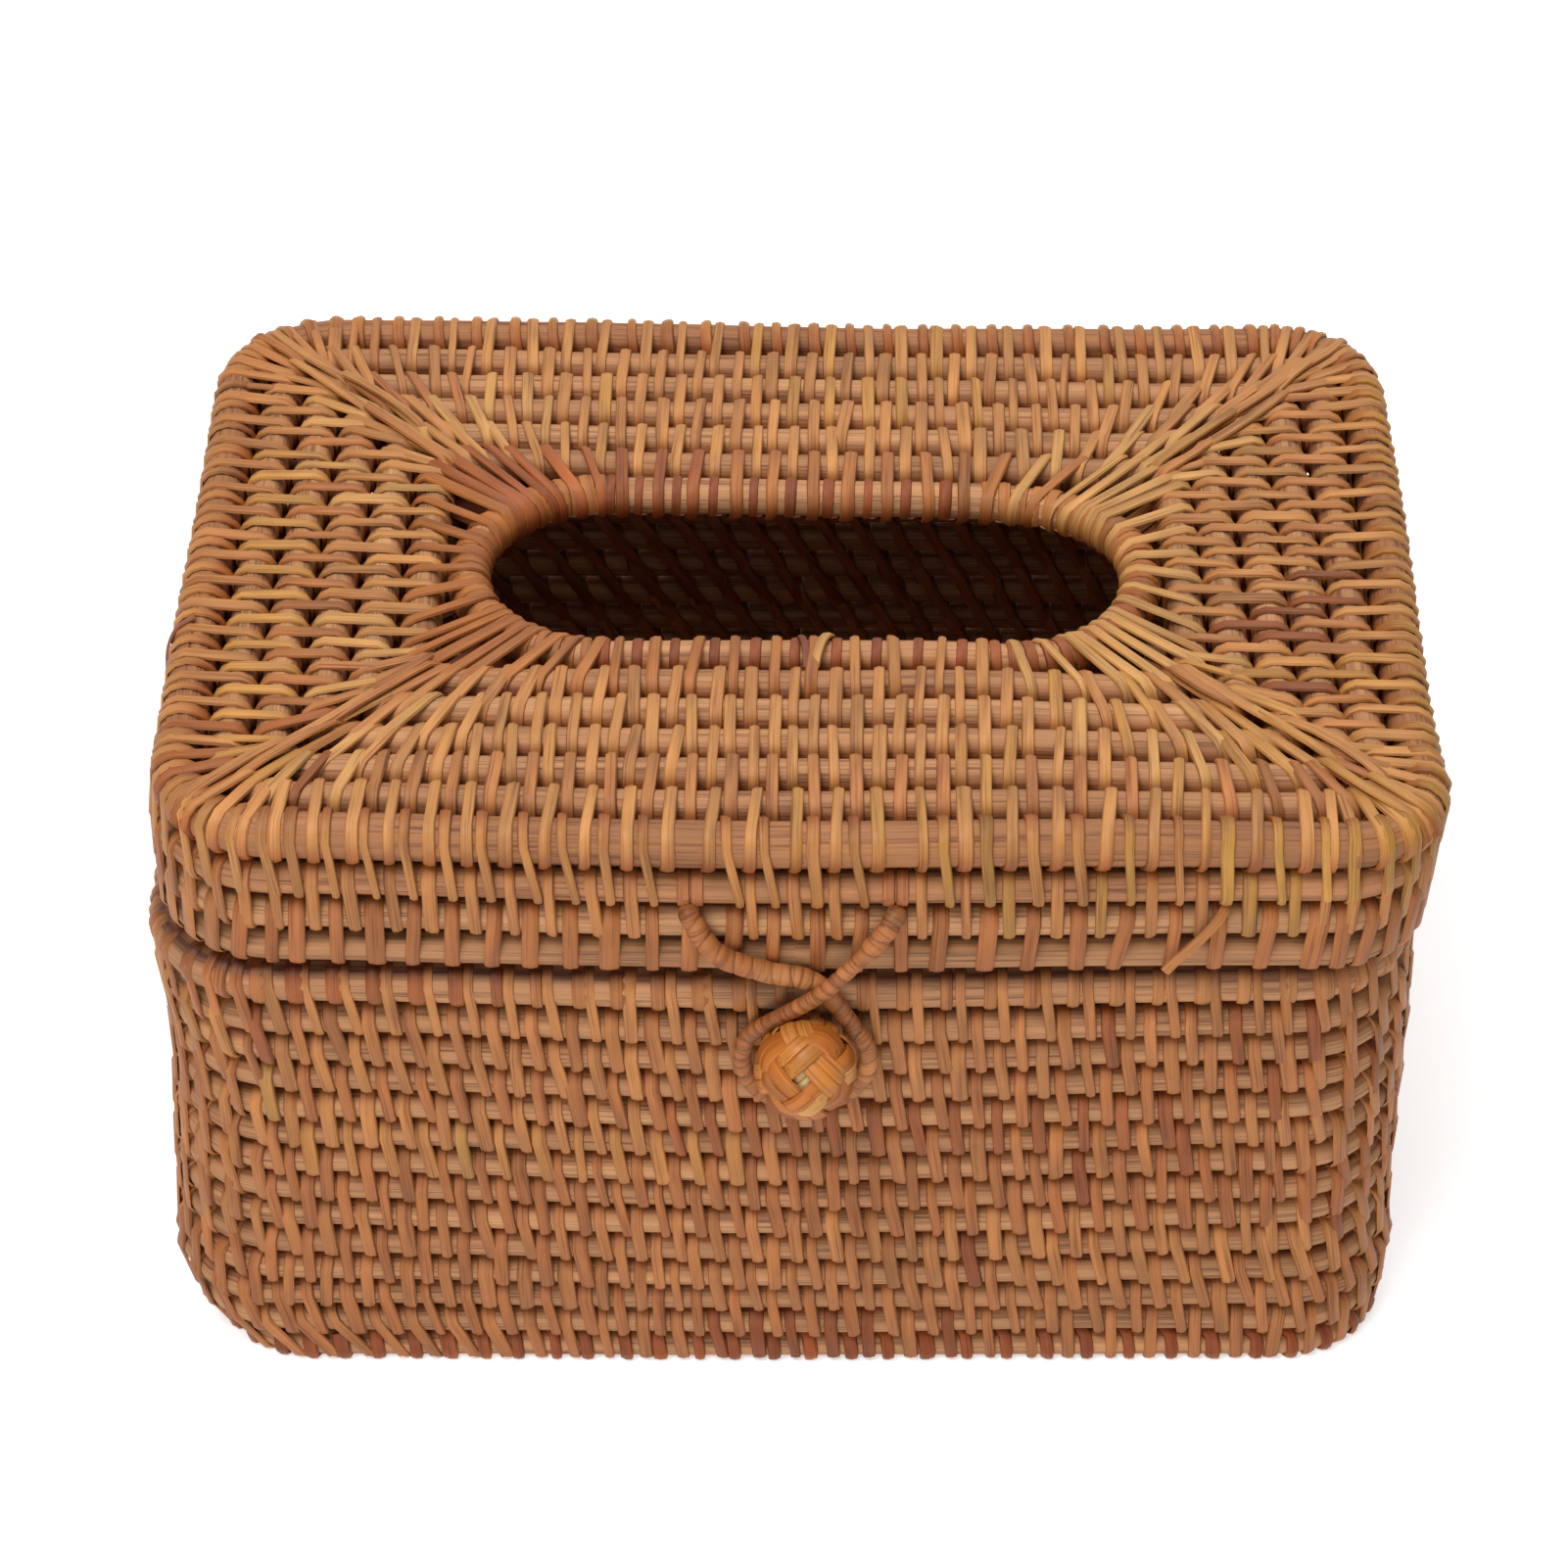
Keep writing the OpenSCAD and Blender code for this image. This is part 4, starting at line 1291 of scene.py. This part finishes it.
    @staticmethod
    def _loose_ends(strip: bpy.types.Material) -> None:
        """Makes the loose ends on the skirt and the slot's rim, and a slack turn on the left edge."""
        work = StripWork()
        ends = (
            ([[66.6, -66.3, 102.4], [66.0, -68.9, 102.6], [64.6, -70.8, 101.2], [61.8, -71.5, 97.6],
              [58.9, -71.9, 94.4], [56.9, -72.5, 92.2]], [0, -1.0, 0.25], 1.7, "#B9793F"),
            ([[3.2, -27.6, 116.0], [3.6, -25.8, 117.0], [4.3, -23.4, 117.6], [5.1, -21.2, 117.2],
              [5.7, -19.6, 116.0], [6.0, -18.7, 114.4]], [0, 0.3, 1.0], 1.6, "#C79455"),
            ([[2.0, -27.4, 115.8], [1.9, -25.4, 117.0], [1.6, -23.2, 117.5], [1.2, -21.3, 117.0],
              [1.0, -20.0, 115.6], [0.9, -19.4, 114.0]], [0, 0.3, 1.0], 1.2, "#7A4128"),
            ([[-95.6, -17.4, 118.2], [-98.3, -18.4, 116.8], [-99.7, -20.2, 114.6], [-99.9, -22.6, 112.2],
              [-99.2, -24.8, 110.0], [-97.4, -26.2, 108.4]], [-1.0, 0, 0.3], 1.5, "#8A4A2A"))
        for route, outwards, width, colour in ends:
            path = Clasp.smooth(np.array(route), 0.7)
            along = np.gradient(path, axis=0)
            normal = unit(np.cross(np.cross(along, np.array(outwards)), along))
            work.add(path[None], normal[None], width, 0.5, one_colour(colour, len(path)))
        work.build("loose_strip_ends", strip, "lid", "cane_strip")

    def _lashings(self, strip: bpy.types.Material) -> None:
        """Makes the hinge's lashings: close turns round the base's rim hoop and the lid's lowest hoop."""
        rim, low = self.hoops["base_rim_hoop"], self.hoops["skirt_hoop_3"]
        work = StripWork()
        seam = Seam(
            low, rim, LASHING_PITCH, 0.0, 2.05, Outside.OUT, WALL_SHADES, 350, lean=0.0, fit=0.06)
        steps = (np.arange(LASHING_TURNS) - (LASHING_TURNS - 1) / 2) * LASHING_PITCH
        for side in (-1, 1):
            at_low = low.length / 2 + side * LASHING_X + steps
            at_rim = rim.length / 2 + side * LASHING_X + steps
            pitch = np.full(LASHING_TURNS, LASHING_PITCH)
            path, normal = seam.rings(at_low, at_rim, pitch, pitch)
            shade = WALL_SHADES.pick(np.random.default_rng(352 + side), LASHING_TURNS, 3, 6)
            tint = np.repeat(shade, Seam.STATIONS, axis=0)
            work.add(path[None], normal[None], seam.width, 0.55, tint[None])
        work.stand_for("hinge_lashings", strip, "lid")


# Clasp

@dataclass(frozen=True)
class Button:
    """A ball woven of paired flat strips, and the strap that holds it to the wall.

    Six bands go round the ball, two square to each of three axes, and pass over and under each other
    by turns. Four bands leave a small hole at each end of an axis, in the way of a pinwheel.
    """

    radius: float = 8.2
    centre: tuple = (1.75, -79.85, 78.7)
    latitudes: tuple = (18.5, 37.0)
    strip: float = 2.6
    thick: float = 0.6
    swing: float = 0.42
    hole_right: float = -0.083
    hole_up: float = -0.217
    turned: float = 40.0
    tilt: float = 40.55

    def axes(self) -> Array:
        """Gives the ball's three axes, the last one through the hole that faces the viewer."""
        tilt = math.radians(self.tilt)
        right = np.array([1.0, 0, 0])
        up = np.array([0, math.sin(tilt), math.cos(tilt)])
        near = np.array([0, -math.cos(tilt), math.sin(tilt)])
        depth = math.sqrt(1 - self.hole_right ** 2 - self.hole_up ** 2)
        hole = self.hole_right * right + self.hole_up * up + depth * near
        across = unit(right - hole * np.dot(hole, right))
        beside = np.cross(hole, across)
        turn = math.radians(self.turned)
        first = math.cos(turn) * across + math.sin(turn) * beside
        return np.stack([first, np.cross(hole, first), hole])

    def build(self, strip: bpy.types.Material) -> None:
        """Makes the ball's bands, its heart and the strap."""
        work = StripWork()
        axes = self.axes()
        rng = np.random.default_rng(400)
        phi = circle(72)
        for k in range(3):
            for side in (-1, 1):
                for latitude in self.latitudes:
                    lat = math.radians(side * latitude)
                    level = (
                        np.cos(phi)[:, None] * axes[(k + 1) % 3] + np.sin(phi)[:, None] * axes[(k + 2) % 3])
                    spoke = math.sin(lat) * axes[k] + math.cos(lat) * level
                    height = self.radius - self.thick - self.swing * (1 - side * np.sin(4 * phi))
                    path = np.array(self.centre) + spoke * height[:, None]
                    tint = KNOT_SHADES.pick(rng, 1, 1, 1)
                    tint = tint * (1 + 0.06 * np.sin(phi + rng.uniform(0, 6)))[:, None]
                    work.add(path[None], spoke[None], self.strip, self.thick, tint[None], closed=True)
        work.stand_for("button_knot", strip, "base", "knot_strip")
        self._heart(strip)
        self._strap(strip)

    def _heart(self, strip: bpy.types.Material) -> None:
        """Makes the pale coil of strip inside the ball, which shows through its holes."""
        turns, steps = 7, 20
        t = np.arange(turns * steps + 1) / steps
        lat = np.radians(-80 + 160 * t / turns)
        axes = self.axes()
        spoke = (
            np.sin(lat)[:, None] * axes[1]
            + np.cos(lat)[:, None] * (
                np.cos(2 * math.pi * t)[:, None] * axes[2] + np.sin(2 * math.pi * t)[:, None] * axes[0]))
        path = np.array(self.centre) + spoke * (self.radius - 2.4)
        work = StripWork()
        work.add(path[None], spoke[None], 2.5, 0.6, one_colour("#D9B57C", len(t)))
        work.build("button_heart_strips", strip, "base", "knot_strip", ["button_knot"])

    def _strap(self, strip: bpy.types.Material) -> None:
        """Makes the two strips that run from the ball through the wall and down inside it."""
        low, high = box_mm("button_strap")
        x = (low[0] + high[0]) / 2
        z = high[2] - 0.6
        inside = high[1]
        rows = np.array([
            [low[1], z], [low[1] + 3, z], [low[1] + 6, z], [inside - 2.2, z], [inside - 0.9, z - 0.3],
            [inside - 0.35, z - 1.3], [inside - 0.3, z - 3], [inside - 0.3, z - 5.5],
            [inside - 0.3, low[2]]])
        along = unit(np.gradient(rows, axis=0))
        normal = np.stack([np.zeros(len(rows)), -along[:, 1], along[:, 0]], axis=-1)
        work = StripWork()
        for m in (-1, 1):
            path = np.stack([np.full(len(rows), x + m * 1.25), rows[:, 0], rows[:, 1]], axis=-1)
            work.add(path[None], normal[None], 2.35, 0.6, one_colour("#C07C40", len(rows)))
        work.stand_for("button_strap", strip, "base", "knot_strip")


@dataclass(frozen=True)
class Clasp:
    """The whipped loop: one strand whose ends curl over the lid's top skirt hoop.

    The left leg passes under the right one. It goes round the button to the right, below it and up on
    its left, and back over itself. The strand is thicker and has wider bands on the left leg.
    """

    button: Button
    strand: float = 2.8
    gap: float = 0.35
    wall_face: float = 71.35
    cross_x: float = 3.25
    hoop_radius: float = 2.66
    leave: float = 38.0
    hang: float = 2.6
    tie: float = 1.9
    tie_thick: float = 0.45

    # The strand's radius by the distance from its left and from its right end, and the width of a band
    # of the whipping by the share of the way along the strand
    LEFT_RADIUS = ((0, 5.6, 7.4, 16, 34, 44), (0.72, 0.72, 1.7, 1.82, 1.65, 1.45))
    RIGHT_RADIUS = ((0, 5.6, 7.4, 14.6, 16, 44), (0.72, 0.72, 1.65, 1.72, 1.28, 1.4))
    BAND = ((0, 0.33, 0.42, 0.56, 0.62, 0.84, 0.87, 1), (3.2, 3.2, 2.9, 2.6, 1.9, 1.5, 2.5, 2.5))
    BITE = 0.22  # how far a joint of the whipping slants round the strand, in bands

    def route(self) -> Array:
        """Gives the points that the strand passes, from the left end to the right one."""
        lift = self.strand + self.gap
        y = -(self.wall_face + self.gap + self.strand / 2)
        r = self.button.radius + self.gap + self.strand / 2
        low, high = box_mm("skirt_hoop_1")
        eye_y, eye_z = low[1] + (high[2] - low[2]) / 2, (low[2] + high[2]) / 2
        reach = math.hypot(self.button.centre[1] - eye_y, self.button.centre[2] - eye_z)
        z = eye_z - math.sqrt(reach ** 2 - (y - eye_y) ** 2) - self.hang
        leave = math.radians(self.leave)
        rise = r * (math.sin(leave) + math.cos(leave) ** 2 / math.sin(leave))

        def end(x: float) -> list:
            """Gives points of an end: from behind the hoop, through the gap below it, and out in front."""
            turns = ((-172, 0.75), (-140, 0.75), (-112, 0.75), (-86, 0.8), (-62, 1.2), (-45, 2.0))
            return [
                [x, eye_y - (self.hoop_radius + rise_by) * math.cos(math.radians(d)),
                 eye_z + (self.hoop_radius + rise_by) * math.sin(math.radians(d))]
                for d, rise_by in turns]

        def leg(x: float, up: float, shares: tuple) -> list:
            """Gives two points of a slack leg, at shares of its width and height from the crossing."""
            end_z = eye_z - (self.hoop_radius + 3.4) * math.sin(math.radians(45))
            return [
                [self.cross_x + (x - self.cross_x) * s, y - up * (1 - s),
                 z + rise + (end_z - z - rise) * t]
                for s, t in shares]

        around = [
            [self.button.centre[0] + r * math.cos(a), y, z + r * math.sin(a)]
            for a in np.radians(np.linspace(self.leave, -180 - self.leave, 14))]
        left, right = EYES_X
        return np.array(
            end(left) + leg(left, 0, ((0.8, 0.56), (0.4, 0.22))) + [[self.cross_x, y, z + rise]] + around
            + [[self.cross_x, y - lift, z + rise]] + leg(right, lift, ((0.78, 0.82), (0.45, 0.43)))[::-1]
            + end(right)[::-1])

    @staticmethod
    def smooth(route: Array, step: float) -> Array:
        """Draws a smooth line through a route's points, in even steps.

        Each stretch is the cubic whose slope at a point is half the way between its neighbours.

        Args:
            route: the points.
            step: the distance between the line's points.

        Returns:
            The line's points.
        """
        padded = np.concatenate([2 * route[:1] - route[1:2], route, 2 * route[-1:] - route[-2:-1]])
        t = (np.arange(12) / 12)[None, :, None]
        p, q, r, s = (padded[i:len(padded) - 3 + i, None] for i in range(4))
        line = 0.5 * (
            2 * q + (r - p) * t + (2 * p - 5 * q + 4 * r - s) * t ** 2 + (3 * q - p - 3 * r + s) * t ** 3)
        line = np.concatenate([line.reshape(-1, 3), route[-1:]])
        length = lengths_along(line)
        even = np.linspace(0, length[-1], int(length[-1] / step))
        return np.stack([np.interp(even, length, line[:, k]) for k in range(3)], axis=-1)

    def build(self, whipping: bpy.types.Material, strip: bpy.types.Material) -> None:
        """Makes the whipped strand and the turns of strip that tie its ends to the hoop."""
        line = self.smooth(self.route(), 0.28)
        heading = unit(np.gradient(line, axis=0))
        side = np.zeros_like(line)
        carried = np.array([1.0, 0.0, 0.0])
        for i, h in enumerate(heading):  # carried along, so that the strand doesn't twist
            carried = carried - h * np.dot(carried, h)
            carried = carried / np.linalg.norm(carried)
            side[i] = carried
        up = np.cross(heading, side)
        length = lengths_along(line)
        share = length / length[-1]
        radius = np.where(
            share < 0.5, np.interp(length, *self.LEFT_RADIUS),
            np.interp(length[-1] - length, *self.RIGHT_RADIUS))
        band = np.interp(share, *self.BAND)
        turns = np.concatenate([[0], np.cumsum(np.diff(length) / ((band[1:] + band[:-1]) / 2))])
        sides = 16
        angle = circle(sides)
        slanted = turns[:, None] + self.BITE * np.cos(angle - 0.6)[None]
        phase = np.mod(slanted, 1.0)
        from_joint = np.minimum(phase, 1 - phase) * band[:, None]
        groove = np.exp(-((from_joint / 0.17) ** 2))
        bulge = np.exp(-((np.minimum(length, length[-1] - length) / 16) ** 4))[:, None]  # near the ends
        crown = 1 - (0.03 + 0.1 * bulge) * (2 * phase - 1) ** 2 - 0.06 * groove
        ends = np.clip(np.minimum(length, length[-1] - length) / 0.9, 0.0, 1.0)
        crown = crown * np.sqrt(np.maximum(1 - (1 - ends) ** 2, 0.02))[:, None]
        spoke = spokes(angle, side[:, None], up[:, None])
        points = line[:, None] + spoke * (radius[:, None] * crown)[..., None]
        count = len(line)
        faces = tube_faces(count, sides).reshape(-1, 4)
        caps = np.stack([np.arange(sides)[::-1], (count - 1) * sides + np.arange(sides)])
        which = np.floor(slanted).astype(int)
        shades = Shades(("#AC6B3A", "#B47644", "#A26134"), (0.4, 0.35, 0.25))
        table = shades.pick(np.random.default_rng(420), which.max() + 3, 1, 4)
        tint = table[which + 1] * (1 - 0.55 * groove)[..., None]
        # The strip goes round the strand, so its fibres do too
        grid = np.stack([
            angle[None] * 1.4 + which * 9.0, np.broadcast_to(length[:, None], (count, sides))], axis=-1)
        corners = np.concatenate([faces.ravel(), caps.ravel()])
        new_piece(
            "clasp_loop_whipped", points.reshape(-1, 3), [faces, caps], grid.reshape(-1, 2)[corners],
            tint.reshape(-1, 3), whipping, "clasp", ["clasp_loop"])
        self._ties(strip)

    def _ties(self, strip: bpy.types.Material) -> None:
        """Makes a turn of strip round the skirt hoop beside each curled end."""
        low, high = box_mm("skirt_hoop_1")
        rod = (high[2] - low[2]) / 2
        centre = np.array([0, low[1] + rod, (low[2] + high[2]) / 2])
        angle = circle(24)
        spoke = np.stack([np.zeros(len(angle)), -np.cos(angle), np.sin(angle)], axis=-1)
        work = StripWork()
        for x in EYES_X:
            for beside in (-1.0, 1.0):
                path = centre + spoke * (rod + 0.06) + [x + beside * 1.05, 0, 0]
                tint = one_colour("#AE6C3E", len(angle))
                work.add(path[None], spoke[None], self.tie, self.tie_thick, tint, closed=True)
        work.build("clasp_end_ties", strip, "clasp", "cane_strip", ["clasp_loop"])


# Studio

@dataclass(frozen=True)
class Studio:
    """The camera of the photograph, a white floor, and soft light from above and in front."""

    target: tuple = (-1.6, 0.0, 68.1)
    distance: float = 699.7
    elevation: float = 40.55
    lens: float = 93.99
    sensor: float = 36.0

    FOOT = (91.0, 62.0)  # half the ground that the box covers, where the floor isn't lifted
    NEAR, FAR = 0.25, 0.6  # metres from the box's middle, between which the floor's lift grows
    NEAR_LIFT = 0.5
    HALF_FLOOR = 1.2  # metres

    def build(self) -> None:
        """Sets the camera, the floor, the world and the lamps."""
        self._camera()
        self._floor()
        self._world()
        self._lamp("key_panel", (-330, -330, 1200), 620, 10.0)
        self._lamp("front_panel", (-150, -1350, 330), 800, 7.6)
        self._lamp("back_panel", (250, 500, 1150), 700, 5.0)
        view = bpy.context.scene.view_settings
        view.view_transform = "Standard"

    def _camera(self) -> None:
        """Stands the camera in front, looking down at the box."""
        tilt = math.radians(self.elevation)
        data = bpy.data.cameras.new("camera")
        data.lens = self.lens
        data.sensor_width = self.sensor
        data.sensor_fit = "HORIZONTAL"
        data.clip_end = 20.0
        camera = bpy.data.objects.new("camera", data)
        camera.location = (
            self.target[0] * MM, (self.target[1] - self.distance * math.cos(tilt)) * MM,
            (self.target[2] + self.distance * math.sin(tilt)) * MM)
        camera.rotation_euler = (math.pi / 2 - tilt, 0, 0)
        bpy.context.scene.collection.objects.link(camera)
        bpy.context.scene.camera = camera

    @staticmethod
    def _shows_background(tree: bpy.types.NodeTree) -> bpy.types.NodeSocket:
        """Gives one for rays that show the background, straight, mirrored or let through, else zero."""
        ray = add_node(tree, "ShaderNodeLightPath")
        mirrored = add_node(
            tree, "ShaderNodeMath", {"operation": "MAXIMUM"},
            {0: ray.outputs["Is Glossy Ray"], 1: ray.outputs["Is Transmission Ray"]})
        return add_node(
            tree, "ShaderNodeMath", {"operation": "MAXIMUM"},
            {0: ray.outputs["Is Camera Ray"], 1: mirrored.outputs[0]}).outputs[0]

    @staticmethod
    def _floor() -> None:
        """Lays the floor. Its colour makes it white, with a lift that has no part in lighting the box.

        The lift ends at the box's foot, so that the floor seen through the weave stays dark. Away from
        the box it grows, so that the far floor is as white as the background.
        """
        half = Studio.HALF_FLOOR
        corners = [(-half, -half, 0), (half, -half, 0), (half, half, 0), (-half, half, 0)]
        mesh = bpy.data.meshes.new("studio_floor")
        mesh.from_pydata(corners, [], [(0, 1, 2, 3)])
        floor = bpy.data.objects.new("studio_floor", mesh)
        bpy.context.scene.collection.objects.link(floor)
        made = bpy.data.materials.new("white_paper_floor")
        made.use_nodes = True
        tree = made.node_tree
        tree.nodes.clear()
        place = add_node(tree, "ShaderNodeTexCoord").outputs["Object"]
        apart = add_node(tree, "ShaderNodeSeparateXYZ", {}, {0: place})
        reach = []
        for k, half_foot in enumerate(Studio.FOOT):
            size = add_node(tree, "ShaderNodeMath", {"operation": "ABSOLUTE"}, {0: apart.outputs[k]})
            beyond = add_node(
                tree, "ShaderNodeMath", {"operation": "GREATER_THAN", 1: half_foot * MM},
                {0: size.outputs[0]})
            reach.append(beyond.outputs[0])
        clear = add_node(tree, "ShaderNodeMath", {"operation": "MAXIMUM"}, {0: reach[0], 1: reach[1]})
        away = add_node(tree, "ShaderNodeVectorMath", {"operation": "LENGTH"}, {0: place}).outputs["Value"]
        amount = add_node(
            tree, "ShaderNodeMapRange",
            {"From Min": Studio.NEAR, "From Max": Studio.FAR, "To Min": Studio.NEAR_LIFT, "To Max": 1.0},
            {"Value": away})
        lift = add_node(
            tree, "ShaderNodeMath", {"operation": "MULTIPLY"},
            {0: Studio._shows_background(tree), 1: amount.outputs["Result"]})
        lift = add_node(
            tree, "ShaderNodeMath", {"operation": "MULTIPLY"}, {0: lift.outputs[0], 1: clear.outputs[0]})
        paper = add_node(tree, "ShaderNodeBsdfDiffuse", {"Color": (*linear("#F2F2F2"), 1)})
        glow = add_node(
            tree, "ShaderNodeEmission", {"Color": (1, 1, 1, 1)}, {"Strength": lift.outputs[0]})
        both = add_node(tree, "ShaderNodeAddShader", {}, {0: paper.outputs[0], 1: glow.outputs[0]})
        add_node(tree, "ShaderNodeOutputMaterial", {}, {"Surface": both.outputs[0]})
        mesh.materials.append(made)

    @staticmethod
    def _world() -> None:
        """Fills the room with plain light, and shows white in the background."""
        world = bpy.data.worlds.new("studio_room")
        world.use_nodes = True
        tree = world.node_tree
        tree.nodes.clear()
        strength = add_node(
            tree, "ShaderNodeMapRange", {"To Min": 0.2, "To Max": 1.0},
            {"Value": Studio._shows_background(tree)})
        sky = add_node(
            tree, "ShaderNodeBackground", {"Color": (1, 1, 1, 1)}, {"Strength": strength.outputs["Result"]})
        add_node(tree, "ShaderNodeOutputWorld", {}, {"Surface": sky.outputs[0]})
        bpy.context.scene.world = world

    @staticmethod
    def _lamp(name: str, place: tuple, size: float, watts: float) -> None:
        """Hangs a square lamp that looks at the box.

        Args:
            name: the lamp's name.
            place: its middle, in millimetres.
            size: its side, in millimetres.
            watts: its power.
        """
        data = bpy.data.lights.new(name, "AREA")
        data.shape = "SQUARE"
        data.size = size * MM
        data.energy = watts
        lamp = bpy.data.objects.new(name, data)
        spot = np.array(place) * MM
        lamp.location = spot
        x, y, z = np.array([0, 0, 0.06]) - spot
        lamp.rotation_euler = (math.atan2(math.hypot(x, y), -z), 0, math.atan2(-x, y))
        bpy.context.scene.collection.objects.link(lamp)


def main() -> None:
    """Builds the studio and then the box, part by part."""
    logging.basicConfig(level=logging.INFO, format="%(message)s")
    Studio().build()
    hoops = Hoops()
    rod, strip = PEELED_ROD.material(), SPLIT_STRIP.material()
    Base(hoops).build(rod, strip)
    Lid(hoops).build(rod, strip)
    button = Button()
    button.build(KNOT_STRIP.material())
    Clasp(button).build(WHIPPING.material(), strip)


if __name__ == "__main__":
    main()
